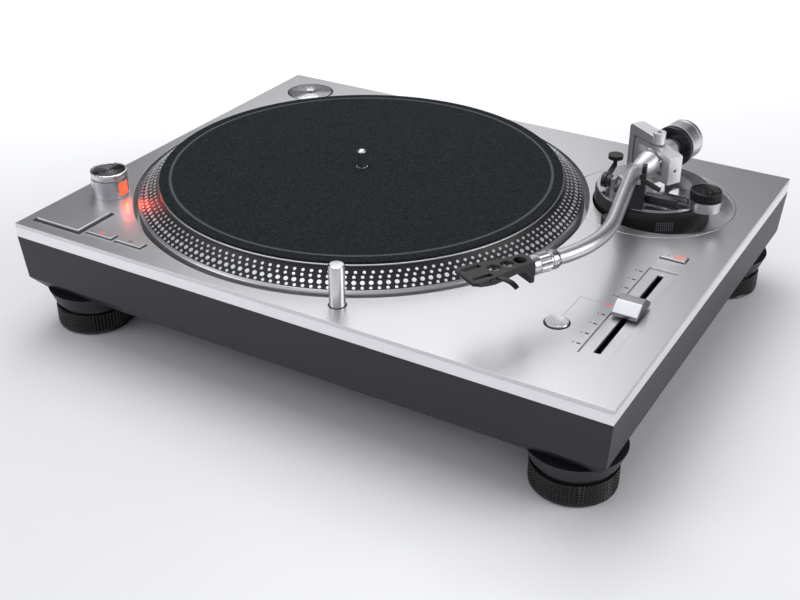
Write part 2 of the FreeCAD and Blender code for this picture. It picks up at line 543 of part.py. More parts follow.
def make_buttons():
    """Start button, the two speed keys, reset and range keys, and the switches under them."""
    keep("start_stop_button", box("start_stop_button", "start_x", "start_y", "button_bottom",
                                  "start_wide", "start_deep", "deck_height + button_rise - button_bottom"))
    for label, x in (("speed_button_33", "speed_x"), ("speed_button_45", "speed_x + speed_pitch")):
        keep(label, box(label, x, "speed_y", "button_bottom", "speed_wide", "speed_deep",
                        "deck_height + key_rise - button_bottom"))
    keep("reset_button", cylinder("reset_button", "reset_x", "reset_y", "button_bottom", "reset_radius",
                                  "deck_height + key_rise - button_bottom"))
    keep("pitch_range_button", box("pitch_range_button", "range_x", "range_y", "button_bottom",
                                   "range_wide", "range_deep", "deck_height + key_rise - button_bottom"))
    spots = {
        "start": ("start_x", "start_y", "start_wide", "start_deep"),
        "speed_low": ("speed_x", "speed_y", "speed_wide", "speed_deep"),
        "speed_high": ("speed_x + speed_pitch", "speed_y", "speed_wide", "speed_deep"),
        "reset": ("reset_x", "reset_y", "2 * reset_radius", "2 * reset_radius"),
        "range": ("range_x", "range_y", "range_wide", "range_deep"),
    }
    switches = []
    for tag, (x, y, wide, deep) in spots.items():
        board = box(f"switch_board_{tag}", x, y, "band_bottom - switch_board_thick",
                    f"{wide} + 2 * button_gap + 2 * switch_margin",
                    f"{deep} + 2 * button_gap + 2 * switch_margin", "switch_board_thick")
        plunger = box(f"switch_plunger_{tag}", x, y, "band_bottom - switch_board_thick",
                      "switch_wide", "switch_wide", "switch_top - band_bottom + switch_board_thick")
        switches.append(fuse(f"switch_{tag}", board, plunger))
    keep("key_switches", group("key_switches", *switches))


def make_fader():
    """Pitch fader: sunk bezel with a long slot, a rail box beneath and the wedge-shaped slider."""
    face = "(deck_height - fader_sink)"
    slot_long = "(2 * slider_travel + blade_long + 2 * button_gap)"
    bezel = box("fader_plate_block", "fader_x", "fader_y", f"{face} - fader_plate", "fader_wide",
                "fader_long",
                "fader_plate")
    slot = box("fader_slot", "fader_x", "fader_y", f"{face} - fader_plate", "slot_wide", slot_long,
               "fader_plate")
    keep("fader_bezel", cut("fader_bezel", bezel, slot))
    rail = box("fader_rail_block", "fader_x", "fader_y", f"{face} - fader_plate - rail_drop",
               "slot_wide + 2 * rail_wall + 2 * rail_room", "fader_long", "rail_drop")
    trough = box("fader_trough", "fader_x", "fader_y", f"{face} - fader_plate - rail_drop + rail_wall",
                 "slot_wide + 2 * rail_room", f"{slot_long} + 2 * rail_room", "rail_drop - rail_wall")
    keep("fader_rail", cut("fader_rail", rail, trough))
    cap = padded("slider_cap", [
        ("-slider_wide / 2", "-slider_long / 2"), ("slider_wide / 2", "-slider_long / 2"),
        ("slider_wide / 2", "slider_long / 2"), ("-slider_wide / 2", "slider_long / 2"),
    ], "0", "slider_rise - slider_lift")
    at(cap, "fader_x", "fader_y", "deck_height + slider_lift")
    scoops = []
    for end in (-1, 1):
        scoop = doc.addObject("Part::Wedge", f"slider_scoop_{'front' if end < 0 else 'rear'}")
        scoop.Placement = FreeCAD.Placement(
            FreeCAD.Vector(), FreeCAD.Rotation(FreeCAD.Vector(0, 0, 1), 0 if end > 0 else 180))
        bind(scoop, Xmin="-slider_wide", Xmax="slider_wide", X2min="-slider_wide", X2max="slider_wide",
             Ymin="slider_waist / 2", Ymax="slider_long / 2", Zmin="slider_rise", Zmax="slider_rise + bite",
             Z2min="slider_lift + slider_edge", Z2max="slider_rise + bite")
        at(scoop, "fader_x", "fader_y", "deck_height")
        scoops.append(scoop)
    blade_foot = "(fader_sink + fader_plate + rail_drop - rail_wall - blade_gap)"
    blade = box("slider_blade", "fader_x", "fader_y", f"deck_height - {blade_foot}", "blade_wide",
                "blade_long",
                f"{blade_foot} + slider_lift + bite")
    keep("pitch_slider", fuse("pitch_slider", cut("slider_shaped", cap, *scoops), blade))


def make_light_and_adaptor():
    """Pop-up stylus light in its sleeve, and the single adaptor in its cup."""
    sleeve_inner = "light_radius + light_fit"
    sleeve = turned("light_sleeve", [
        (sleeve_inner, "deck_height - sleeve_deep"),
        (f"{sleeve_inner} + light_wall", "deck_height - sleeve_deep"),
        (f"{sleeve_inner} + light_wall", "deck_height"), (sleeve_inner, "deck_height"),
    ])
    at(sleeve, "light_x", "light_y", 0)
    keep("light_sleeve", sleeve)
    light_foot = "deck_height - sleeve_deep + light_travel + light_rest"
    light = turned("stylus_light", [
        ("0", light_foot), ("light_radius", light_foot),
        ("light_radius", "deck_height + light_rise - light_edge"),
        ("light_radius - light_edge", "deck_height + light_rise"),
        ("0", "deck_height + light_rise"),
    ])
    at(light, "light_x", "light_y", 0)
    keep("stylus_light", light)
    bottom = "(deck_height + adaptor_proud - adaptor_tall)"
    cup_inner = "adaptor_radius + adaptor_gap"
    cup = turned("adaptor_cup", [
        ("0", f"{bottom} - cup_floor"), (f"{cup_inner} + cup_wall", f"{bottom} - cup_floor"),
        (f"{cup_inner} + cup_wall", "deck_height"), (cup_inner, "deck_height"), (cup_inner, bottom),
        ("0", bottom),
    ])
    at(cup, "adaptor_x", "adaptor_y", 0)
    keep("adaptor_cup", cup)
    hole = "spindle_radius + mat_hole_gap"
    adaptor = turned("single_adaptor", [
        (hole, bottom), ("adaptor_radius", bottom),
        ("adaptor_radius", "deck_height + adaptor_proud - adaptor_edge"),
        ("adaptor_radius - adaptor_edge", "deck_height + adaptor_proud"),
        (f"{hole} + adaptor_dish_wide", "deck_height + adaptor_proud"),
        (hole, "deck_height + adaptor_proud - adaptor_dish_deep"),
    ])
    at(adaptor, "adaptor_x", "adaptor_y", 0)
    keep("single_adaptor", adaptor)


def make_rear_and_electronics():
    """Recessed sockets at the rear, main board and power supply."""
    for tag, x, wide in (("jacks", "jacks_x", "jacks_wide"), ("inlet", "inlet_x", "inlet_wide")):
        outer = box(f"{tag}_cup_block", x, "rear_face - socket_deep / 2", "socket_bottom", wide,
                    "socket_deep",
                    "socket_tall")
        inner = box(f"{tag}_cup_room", x, "rear_face - socket_deep / 2 + socket_wall",
                    "socket_bottom + socket_wall",
                    f"{wide} - 2 * socket_wall", "socket_deep", "socket_tall - 2 * socket_wall")
        keep(f"{tag}_cup", cut(f"{tag}_cup", outer, inner))
    back = "(rear_face - socket_deep + socket_wall)"
    middle = "(socket_bottom + socket_tall / 2)"
    jacks = [
        cut(f"jack_{k}",
            cylinder(f"jack_round_{k}", f"jacks_x - jacks_wide / 4 + {k} * jack_pitch", back, middle,
                     "jack_radius", "jack_long", "Y"),
            cylinder(f"jack_bore_{k}", f"jacks_x - jacks_wide / 4 + {k} * jack_pitch",
                     f"{back} + jack_floor", middle,
                     "jack_hole", "jack_long", "Y"))
        for k in (0, 1)
    ]
    keep("phono_jacks", group("phono_jacks", *jacks))
    terminal = turned("ground_terminal", [
        ("0", "0"), ("terminal_stem", "0"), ("terminal_stem", "terminal_gap"),
        ("terminal_radius", "terminal_gap"), ("terminal_radius", "terminal_gap + terminal_long"),
        ("0", "terminal_gap + terminal_long"),
    ], "Y")
    at(terminal, "jacks_x + jacks_wide / 2 - 3 * terminal_radius", back, middle)
    keep("ground_terminal", terminal)
    keep("mains_inlet", box("mains_inlet", "inlet_x", f"{back} + inlet_plug_long / 2",
                            f"{middle} - inlet_plug_tall / 2", "inlet_plug_wide", "inlet_plug_long",
                            "inlet_plug_tall"))
    keep("main_board", box("main_board", "main_board_x", "main_board_y", "main_board_bottom",
                           "main_board_wide",
                           "main_board_deep", "board_thick"))
    keep("power_supply", box("power_supply", "supply_x", "supply_y", "tub_floor_top", "supply_wide",
                             "supply_deep", "supply_tall"))


def make_arm_well():
    """Round disc let into the deck, with the recess that the height ring stands in."""
    disc = cylinder("arm_disc", "pivot_x", "pivot_y", "arm_disc_bottom", "arm_disc_radius",
                    "deck_height - arm_disc_bottom")
    flange = cylinder("arm_flange", "pivot_x", "pivot_y", "arm_disc_bottom",
                      "arm_disc_radius + arm_disc_flange",
                      "band_bottom - arm_disc_bottom")
    side = cylinder("arm_disc_side", "platter_x", "platter_y", "band_bottom", "well_radius",
                    "deck_height - band_bottom")
    low_side = cylinder("arm_disc_low_side", "platter_x", "platter_y", "arm_disc_bottom",
                        "well_outer + arm_disc_gap", "band_bottom - arm_disc_bottom")
    recess = cylinder("arm_recess", "pivot_x + recess_shift", "pivot_y", "recess_floor", "recess_radius",
                      "deck_height - recess_floor")
    bore = cylinder("arm_bore", "pivot_x", "pivot_y", "arm_disc_bottom", "column_radius + column_fit",
                    "deck_height - arm_disc_bottom")
    lock_hole = cylinder("lock_hole", "pivot_x + lock_out * cos(lock_bearing * 1 deg)",
                         "pivot_y + lock_out * sin(lock_bearing * 1 deg)", "deck_height - lock_tall",
                         "lock_stem + stem_fit", "lock_tall")
    keep("arm_well", cut("arm_well", fuse("arm_disc_body", disc, flange), side, low_side, recess, bore,
                         lock_hole))
    keep("height_ring", turned("height_ring", [
        ("ring_bore", "recess_floor + ring_lift - deck_height"),
        ("ring_radius", "recess_floor + ring_lift - deck_height"),
        ("ring_radius", "ring_top_rise"), ("ring_bore", "ring_top_rise"),
    ]), "base")
    lever = turned("arm_lock_lever", [
        ("0", "lock_lift - lock_tall"), ("lock_stem", "lock_lift - lock_tall"), ("lock_stem", "lock_lift"),
        ("lock_radius", "lock_lift"), ("lock_radius", "lock_lift + lock_tall - lock_edge"),
        ("lock_radius - lock_edge", "lock_lift + lock_tall"), ("0", "lock_lift + lock_tall"),
    ])
    at(lever, "pivot_x + lock_out * cos(lock_bearing * 1 deg)",
       "pivot_y + lock_out * sin(lock_bearing * 1 deg)",
       "deck_height")
    keep("arm_lock_lever", lever)


def make_arm_base():
    """Arm base on its column, with the dial plate, the lever post, the rest and the dials."""
    body = turned("arm_base_body", [
        ("0", "arm_disc_bottom - deck_height"), ("column_radius", "arm_disc_bottom - deck_height"),
        ("column_radius", "base_bottom_rise"), ("base_radius", "base_bottom_rise"),
        ("base_radius", "base_rim_rise"), ("base_hub", "base_rim_rise"),
        ("base_hub", "base_top_rise"), ("0", "base_top_rise"),
    ])
    skate_arm = box("skate_arm", "(skate_arm_start + skate_dx) / 2", "skate_dy", "base_bottom_rise",
                    "skate_dx - skate_arm_start", "skate_arm_deep", "skate_plate_rise - base_bottom_rise")
    skate_pad = cylinder("skate_pad", "skate_dx", "skate_dy", "base_rim_rise", "skate_radius + skate_lobe",
                         "skate_plate_rise - base_rim_rise")
    skate_post = cylinder("skate_post", "skate_dx", "skate_dy", "base_rim_rise", "skate_stem",
                          "skate_plate_rise + skate_tall - 2 * skate_cap - base_rim_rise")
    cue_post = box("cue_post", "cue_dx + cue_disc_thick / 2 + cue_hub_long + cue_pin_radius", "cue_dy",
                   "base_rim_rise - bite", "cue_pin_radius * 2", "2 * cue_post_half",
                   "cue_rise + cue_post_half - base_rim_rise + bite")
    cue_hole = cylinder("cue_hole", "cue_dx", "cue_dy", "cue_rise", "cue_pin_radius + cue_pin_fit",
                        "cue_disc_thick + cue_hub_long + 4 * cue_pin_radius", "X")
    stem_place = ("lifter_radius * cos(lifter_bearing * 1 deg)",
                  "lifter_radius * sin(lifter_bearing * 1 deg)")
    guide_boss = cylinder("lifter_boss", *stem_place, "base_rim_rise - bite",
                          "lifter_stem + lifter_boss_wall", "base_step + lifter_boss_tall + bite")
    guide = cylinder("lifter_guide", *stem_place, "base_bottom_rise", "lifter_stem + lifter_fit",
                     "base_top_rise + lifter_boss_tall - base_bottom_rise")
    solid = fuse("arm_base_solid", body, skate_arm, skate_pad, skate_post, cue_post, guide_boss)
    keep("arm_base", cut("arm_base", solid, cue_hole, guide), "base")
    dial_bottom = "(skate_plate_rise + skate_gap)"
    dial = cut("anti_skate_dial",
               cylinder("skate_round", "skate_dx", "skate_dy", dial_bottom, "skate_radius", "skate_tall"),
               cylinder("skate_bore", "skate_dx", "skate_dy", dial_bottom, "skate_stem + stem_fit",
                        "skate_tall - skate_cap"))
    keep("anti_skate_dial", dial, "base")


def make_cueing():
    """Cueing lever with its knob, and the curved platform that lifts the arm."""
    disc = cylinder("cue_disc", "cue_dx - cue_disc_thick / 2", "cue_dy", "cue_rise", "cue_disc_radius",
                    "cue_disc_thick", "X")
    hub = cylinder("cue_hub", "cue_dx + cue_disc_thick / 2", "cue_dy", "cue_rise", "cue_hub_radius",
                   "cue_hub_long - cue_hub_gap", "X")
    pin = cylinder("cue_pin", "cue_dx + cue_disc_thick / 2 + cue_hub_long - bite", "cue_dy", "cue_rise",
                   "cue_pin_radius", "cue_pin_radius * 2", "X")
    lever = padded("cue_lever_arm", [
        ("cue_dx - cue_arm_thick / 2", "cue_dy"), ("cue_dx + cue_arm_thick / 2", "cue_dy"),
        ("cue_knob_dx + cue_arm_thick / 2", "cue_knob_dy"),
        ("cue_knob_dx - cue_arm_thick / 2", "cue_knob_dy"),
    ], "cue_rise - cue_arm_thick / 2", "cue_arm_thick")
    neck = cylinder("cue_neck", "cue_knob_dx", "cue_knob_dy", "cue_rise - cue_arm_thick / 2",
                    "cue_arm_thick / 2",
                    "cue_knob_rise - cue_rise + cue_arm_thick")
    knob = cylinder("cue_knob", "cue_knob_dx", "cue_knob_dy", "cue_knob_rise", "cue_knob_radius",
                    "cue_knob_thick")
    keep("cue_lever", fuse("cue_lever", disc, hub, pin, lever, neck, knob), "base")

    top = "lifter_top_rise - lifter_thick"
    outer = cylinder("lifter_outer", 0, 0, top, "lifter_radius + lifter_wide / 2", "lifter_thick")
    outer.Placement = FreeCAD.Placement(FreeCAD.Vector(), FreeCAD.Rotation(FreeCAD.Vector(0, 0, 1), 1))
    bind(outer, Angle="lifter_sweep", Placement__Rotation__Angle="lifter_bearing - lifter_sweep / 2")
    inner = cylinder("lifter_inner", 0, 0, top, "lifter_radius - lifter_wide / 2", "lifter_thick")
    stem = cylinder("lifter_post", "lifter_radius * cos(lifter_bearing * 1 deg)",
                    "lifter_radius * sin(lifter_bearing * 1 deg)", "base_bottom_rise + base_gap",
                    "lifter_stem", "lifter_top_rise - base_bottom_rise - base_gap - bite")
    keep("lift_platform", fuse("lift_platform", cut("lifter_bar", outer, inner), stem), "base")


def make_gimbal():
    """Fixed bearing frame, the swinging ring inside it and their pivot screws."""
    low = "frame_low"
    side = upright("frame_side", [
        ("-frame_left", low), ("-frame_left", "frame_high"), ("0", "frame_high - frame_slope"),
        ("0", "frame_under"), ("-frame_left + frame_post", "frame_under"),
        ("-frame_left + frame_post", "frame_low + frame_foot"), ("frame_right", "frame_low + frame_foot"),
        ("frame_right", low),
    ], "frame_deep")
    boss = cylinder("frame_boss", 0, 0, "frame_under", "boss_radius", "boss_top - frame_under")
    bore = cylinder("frame_bore", 0, 0, low, "pivot_radius", "boss_top - frame_low")
    rounding = cut("frame_rounding",
                   box("frame_corner_block", "-frame_left + (frame_corner - bite) / 2", 0,
                       "frame_high - frame_corner",
                       "frame_corner + bite", "frame_deep + bite", "frame_corner + bite"),
                   cylinder("frame_corner_round", "-frame_left + frame_corner", "-frame_deep",
                            "frame_high - frame_corner", "frame_corner", "2 * frame_deep", "Y"))
    keep("gimbal_frame", cut("gimbal_frame", fuse("gimbal_frame_body", side, boss), bore, rounding), "yoke")
    upper = cylinder("pivot_upper", 0, 0, "gimbal_high - pivot_bite", "pivot_radius",
                     "boss_top - gimbal_high + pivot_bite")
    lower = cylinder("pivot_lower", 0, 0, low, "pivot_radius", "-gimbal_low + pivot_bite - frame_low")
    keep("pivot_screws", group("pivot_screws", upper, lower), "yoke")

    slope_end = "gimbal_box_out", "gimbal_box_high"
    inner_left = "-gimbal_left + gimbal_post"
    beams = upright("ring_beams", [
        ("-gimbal_left", "-gimbal_low"), ("-gimbal_left", "gimbal_high - gimbal_corner"),
        ("-gimbal_left + gimbal_corner", "gimbal_high"), ("gimbal_slope_start", "gimbal_high"),
        slope_end, ("gimbal_box_out", "-gimbal_low"),
    ], "gimbal_deep")
    opening = upright("ring_opening", [
        (inner_left, "-gimbal_low + gimbal_beam"), (inner_left, "gimbal_high - gimbal_beam"),
        ("gimbal_slope_start", "gimbal_high - gimbal_beam"),
        ("gimbal_box_in", "gimbal_box_high - gimbal_beam"), ("gimbal_box_in", "-gimbal_low + gimbal_beam"),
    ], "gimbal_deep + bite")
    ring_box = upright("ring_box", [
        ("gimbal_box_in", "-gimbal_low"), ("gimbal_box_in", "gimbal_box_high + gimbal_corner"),
        slope_end, ("gimbal_box_out", "-gimbal_low"),
    ], "gimbal_box_deep")
    eye = cylinder("ring_eye", 0, 0, "-gimbal_low", "pivot_radius + pivot_fit", "gimbal_low + gimbal_high")
    side_eye = cylinder("ring_side_eye", "-gimbal_left", 0, "-pitch_drop", "pivot_radius",
                        "gimbal_left + gimbal_box_out", "X")
    keep("gimbal_ring", cut("gimbal_ring",
                            fuse("gimbal_ring_body", cut("ring_frame", beams, opening), ring_box),
                            eye, side_eye), "yoke")
    pin_tip = "(block_half - pivot_bite)"
    right = cylinder("side_pin_right", pin_tip, 0, "-pitch_drop", "pivot_radius",
                     f"gimbal_box_out - {pin_tip}", "X")
    left_pin = cylinder("side_pin_left", "-gimbal_left", 0, "-pitch_drop", "pivot_radius",
                        f"gimbal_left - {pin_tip}", "X")
    keep("side_screws", group("side_screws", right, left_pin), "yoke")


def make_arm():
    """Bearing housing, bent tube, and the balance weight with its dial."""
    housing = spun(turned("block_housing", [
        ("0", "-tube_start"), ("housing_nose", "-tube_start"), ("housing_nose", "-housing_neck"),
        ("housing_radius", "-housing_back"), ("block_radius", "-housing_back"),
        ("block_radius", "neck_start"),
        ("neck_radius", "neck_start"), ("neck_radius", "block_back"), ("0", "block_back"),
    ], "Y"), "offset_angle")
    cheeks = cylinder("block_cheeks", "-block_half", 0, "-pitch_drop", "cheek_radius", "2 * block_half", "X")
    eye = cylinder("block_eye", "-block_half", 0, "-pitch_drop", "pivot_radius + pivot_fit",
                   "2 * block_half", "X")
    keep("bearing_block", cut("bearing_block", fuse("bearing_block_body", housing, cheeks), eye), "yoke")

    arm_tube = doc.addObject("Part::Feature", "arm_tube")
    arm_tube.Shape = bent_tube()
    keep("arm_tube", arm_tube, "arm")

    keep("weight_shaft", turned("weight_shaft", [
        ("0", "block_back"), ("weight_shaft_radius", "block_back"),
        ("weight_shaft_radius", "weight_end + weight_travel"),
        ("0", "weight_end + weight_travel"),
    ], "Y"), "arm")
    keep("weight_core", turned("weight_core", [
        ("weight_shaft_radius + core_fit", "weight_front"), ("core_radius", "weight_front"),
        ("core_radius", "weight_end"), ("weight_shaft_radius + core_fit", "weight_end"),
    ], "Y"), "arm")
    keep("force_dial", turned("force_dial", [
        ("core_radius + core_fit", "weight_front"), ("dial_radius", "weight_front"),
        ("dial_radius", "weight_front + dial_thick - dial_gap"),
        ("core_radius + core_fit", "weight_front + dial_thick - dial_gap"),
    ], "Y"), "arm")
    keep("counterweight", turned("counterweight", [
        ("core_radius + core_fit", "weight_front + dial_thick"),
        ("weight_radius", "weight_front + dial_thick"),
        ("weight_radius", "weight_end"), ("core_radius + core_fit", "weight_end"),
    ], "Y"), "arm")


def bent_tube():
    """The arm tube: two bends, so that its ends run parallel at the offset angle."""
    offset = math.radians(size("offset_angle"))
    crank = math.radians(size("crank_angle"))
    reach = size("arm_reach")
    start_way = FreeCAD.Vector(0, -1, 0)
    shell_way = FreeCAD.Vector(-math.sin(offset), -math.cos(offset), 0)
    crank_way = FreeCAD.Vector(math.sin(crank), -math.cos(crank), 0)
    stylus = FreeCAD.Vector(0, -reach, 0)
    first = start_way * size("first_leg")
    gap = stylus - first
    cross = crank_way.x * shell_way.y - crank_way.y * shell_way.x
    run = (gap.x * shell_way.y - gap.y * shell_way.x) / cross
    second = first + crank_way * run
    start = start_way * size("tube_start")
    end = stylus - shell_way * (size("shell_back") + size("plug_long") + size("plug_fit"))
    edges = []
    here = start
    for corner, before, after, bend in (
        (first, start_way, crank_way, size("first_bend")),
        (second, crank_way, shell_way, size("second_bend")),
    ):
        half_turn = before.getAngle(after) / 2
        trim = bend * math.tan(half_turn)
        enter = corner - before * trim
        leave = corner + after * trim
        inward = (after - before)
        inward.normalize()
        middle = corner + inward * (bend / math.cos(half_turn) - bend)
        edges.append(Part.LineSegment(here, enter).toShape())
        edges.append(Part.Arc(enter, middle, leave).toShape())
        here = leave
    edges.append(Part.LineSegment(here, end).toShape())
    path = Part.Wire(edges)

    def pipe(radius):
        ring = Part.Wire([Part.Circle(start, start_way, radius).toShape()])
        return path.makePipeShell([ring], True, True)

    return pipe(size("tube_radius")).cut(pipe(size("tube_radius") - size("tube_wall")))


def make_rest():
    """Arm rest: a saddle and an outer wall, and the clamp that hangs open on the wall's pin."""
    crank = "(crank_angle * 1 deg)"
    place = (f"rest_along * sin{crank}", f"-first_leg - rest_along * cos{crank}")
    out = "(tube_radius + rest_gap + rest_wall / 2)"
    pin_long = "(clamp_wide + 2 * clamp_gap)"
    saddle = box("rest_saddle", 0, 0, "rest_low", "2 * rest_half", "rest_long",
                 "-tube_radius - rest_drop - rest_low")
    wall = box("rest_wall_block", out, 0, "rest_low", "rest_wall", "rest_long",
               "tube_radius + rest_over - rest_low")
    pin = cylinder("clamp_pin", out, f"-rest_long / 2 - {pin_long}", "clamp_rise", "clamp_pin",
                   f"{pin_long} + bite", "Y")
    rest = spun(fuse("rest_block", saddle, wall, pin), "crank_angle")
    at(rest, *place, 0)
    keep("arm_rest", group("arm_rest", rest), "arm")
    knuckle = cylinder("clamp_knuckle", 0, "-clamp_wide", 0, "clamp_radius", "clamp_wide", "Y")
    bore = cylinder("clamp_bore", 0, "-clamp_wide", 0, "clamp_pin + clamp_fit", "clamp_wide", "Y")
    bar = box("clamp_bar", "-clamp_long / 2", "-clamp_wide / 2", "clamp_radius - clamp_thick / 2",
              "clamp_long", "clamp_wide", "clamp_thick")
    clamp = cut("clamp_solid", fuse("clamp_body", knuckle, bar), bore)
    clamp.Placement = FreeCAD.Placement(FreeCAD.Vector(), FreeCAD.Rotation(FreeCAD.Vector(0, 1, 0), 1))
    bind(clamp, Placement__Rotation__Angle="clamp_hang")
    at(clamp, out, "-rest_long / 2 - clamp_gap", "clamp_rise")
    hung = spun(group("clamp_hung", clamp), "crank_angle")
    at(hung, *place, 0)
    keep("rest_clamp", group("rest_clamp", hung), "arm")


def make_headshell():
    """Locking collar and the removable headshell with its plug, slots and finger lift."""
    rear = "shell_back"
    keep("locking_collar", turned("locking_collar", [
        ("plug_radius + plug_fit", f"{rear} + collar_stand"), ("collar_radius", f"{rear} + collar_stand"),
        ("collar_radius", f"{rear} + collar_long"), ("tube_radius + collar_fit", f"{rear} + collar_long"),
        ("tube_radius + collar_fit", f"{rear} + plug_long"),
        ("plug_radius + plug_fit", f"{rear} + plug_long"),
    ], "Y"), "shell")
    plate = padded("shell_plate_body", [
        ("-shell_front_half + shell_corner_in", "-shell_front"),
        ("shell_front_half - shell_corner_in", "-shell_front"),
        ("shell_front_half", "shell_corner - shell_front"),
        ("shell_front_half - shell_taper", "cartridge_slot_long / 2"),
        ("shell_rear_half + shell_taper", f"{rear} - shell_neck"), ("shell_rear_half", rear),
        ("-shell_rear_half", rear), ("-shell_rear_half - shell_taper", f"{rear} - shell_neck"),
        ("-shell_front_half + shell_taper", "cartridge_slot_long / 2"),
        ("-shell_front_half", "shell_corner - shell_front"),
    ], "shell_top - shell_plate", "shell_plate")
    flange = box("shell_flange_block", 0, f"{rear} - shell_flange / 2", "-shell_flange_drop",
                 "2 * shell_rear_half", "shell_flange", "shell_top + shell_flange_drop")
    plug = cylinder("shell_plug", 0, f"{rear} - bite", 0, "plug_radius", "plug_long + bite", "Y")
    lift = box("shell_lift", "shell_front_half + lift_reach / 2 - lift_bite", "lift_along",
               "shell_top - lift_thick - lift_sink", "lift_reach", "lift_wide", "lift_thick")
    slots = [
        box(f"shell_slot_{side + 1}", f"{side} * cartridge_pitch / 2", 0, "shell_top - shell_plate",
            "cartridge_slot",
            "cartridge_slot_long", "shell_plate")
        for side in (-1, 1)
    ]
    holes = [
        cylinder(f"shell_hole_{k}", 0, f"cartridge_slot_long / 2 + bite + ({k} + 0.5) * shell_hole_pitch",
                 "shell_top - shell_plate", "shell_hole", "shell_plate")
        for k in range(3)
    ]
    keep("headshell", cut("headshell", fuse("shell_body", plate, flange, plug, lift), *slots, *holes),
         "shell")


make_plinth()
make_feet()
make_motor()
make_rotor()
make_power_tower()
make_buttons()
make_fader()
make_light_and_adaptor()
make_rear_and_electronics()
make_arm_well()
make_arm_base()
make_cueing()
make_gimbal()
make_arm()
make_rest()
make_headshell()
doc.recompute()

for obj in doc.Objects:
    if "Invalid" in obj.State or "Error" in obj.State:
        raise SystemExit(f"{obj.Label} failed: {obj.State}")
for piece in pieces:
    if piece.Shape.isNull() or not piece.Shape.isValid() or not piece.Shape.Solids:
        raise SystemExit(f"{piece.Label} has no sound shape")

os.makedirs("parts", exist_ok=True)
for piece in pieces:
    piece.Shape.exportStep(f"parts/{piece.Label}.step")
print(len(pieces), "pieces written")
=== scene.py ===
"""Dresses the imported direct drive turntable: finishes, fine pieces and a plain studio."""

import json
import math

import bmesh
import bpy
from mathutils import Matrix, Vector


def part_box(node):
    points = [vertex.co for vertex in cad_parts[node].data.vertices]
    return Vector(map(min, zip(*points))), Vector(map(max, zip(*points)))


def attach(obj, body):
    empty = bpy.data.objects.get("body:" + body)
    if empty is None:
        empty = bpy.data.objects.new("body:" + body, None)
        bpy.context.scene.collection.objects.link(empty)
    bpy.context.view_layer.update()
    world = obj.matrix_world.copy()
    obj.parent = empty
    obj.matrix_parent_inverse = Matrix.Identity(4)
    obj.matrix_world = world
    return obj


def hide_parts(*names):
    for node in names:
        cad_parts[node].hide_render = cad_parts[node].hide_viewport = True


bl_info = {
    "name": "Direct drive turntable",
    "version": (1, 0, 0),
    "blender": (4, 5, 0),
    "location": "3D View > Sidebar > Turntable",
    "description": "Finishes, fine pieces and a plain studio for the packed turntable",
    "category": "Add Mesh",
}

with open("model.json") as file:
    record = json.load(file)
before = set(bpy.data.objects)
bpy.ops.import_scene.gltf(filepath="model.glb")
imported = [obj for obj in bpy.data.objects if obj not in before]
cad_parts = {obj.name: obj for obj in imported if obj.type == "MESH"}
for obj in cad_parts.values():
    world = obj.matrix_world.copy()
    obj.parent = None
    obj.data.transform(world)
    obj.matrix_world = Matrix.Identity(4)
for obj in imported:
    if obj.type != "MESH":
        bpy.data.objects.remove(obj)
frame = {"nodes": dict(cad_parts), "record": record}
NODES = frame["nodes"]
BODY_OF = {node: body for body, nodes in frame["record"]["behaviour"]["bodies"].items() for node in nodes}

DECK = 0.084
PLATTER = Vector((-0.048, 0.002, 0.0))
PIVOT = Vector((0.1494, 0.0872, 0.118))
STYLUS = Vector((0.12137, -0.14109, 0.118))
ARM_YAW = math.radians(-7)
SHELL_YAW = math.radians(-29)
MM = 0.001


# ---------------------------------------------------------------- sizes and colours

def length(default, name, description):
    """A length property in metres."""
    return bpy.props.FloatProperty(name=name, description=description, default=default, unit="LENGTH",
                                   precision=5, min=0.0)


def count(default, name, description):
    """A whole number property."""
    return bpy.props.IntProperty(name=name, description=description, default=default, min=1)


def share(default, name, description):
    """A number from nought to one."""
    return bpy.props.FloatProperty(name=name, description=description, default=default, min=0.0, max=1.0)


def colour(default, name, description):
    """A linear colour property."""
    return bpy.props.FloatVectorProperty(name=name, description=description, default=default,
                                         subtype="COLOR", size=3, min=0.0, max=1.0)


class PlinthProps(bpy.types.PropertyGroup):
    """Sizes and colours of the plinth and its feet."""
    plate_ease: length(0.0004, "Plate edge", "Easing along the top plate's edge")
    tub_ease: length(0.0012, "Tub edge", "Rounding along the base tub's edges")
    plate_tint: colour((0.68, 0.68, 0.70), "Plate", "Colour of the satin plate and frame")
    plate_rough: share(0.34, "Plate roughness", "How dull the satin plate is")
    tub_tint: colour((0.0145, 0.0152, 0.0195), "Tub", "Colour of the base tub")
    tub_rough: share(0.46, "Tub roughness", "How dull the base tub is")
    foot_tint: colour((0.012, 0.012, 0.013), "Feet", "Colour of the rubber feet")
    groove: length(0.0025, "Foot groove", "Height of the groove at the foot's top")


class PlatterProps(bpy.types.PropertyGroup):
    """Sizes and colours of the platter and its mat."""
    dot_small: length(0.0012, "Small dot", "Radius of a small strobe dot")
    dot_large: length(0.00172, "Large dot", "Radius of a large strobe dot")
    dot_proud: length(0.00022, "Dot height", "How far a dot stands off the cone")
    mat_tint: colour((0.0100, 0.0115, 0.0130), "Mat", "Colour of the felt mat")
    ring_tint: colour((0.085, 0.105, 0.12), "Mat ring", "Colour of the thin printed ring")


class ArmProps(bpy.types.PropertyGroup):
    """Colours of the tonearm."""
    arm_tint: colour((0.60, 0.60, 0.625), "Arm metal", "Colour of the satin arm")
    arm_rough: share(0.34, "Arm roughness", "How dull the satin arm is")
    shell_tint: colour((0.017, 0.018, 0.020), "Headshell", "Colour of the headshell")


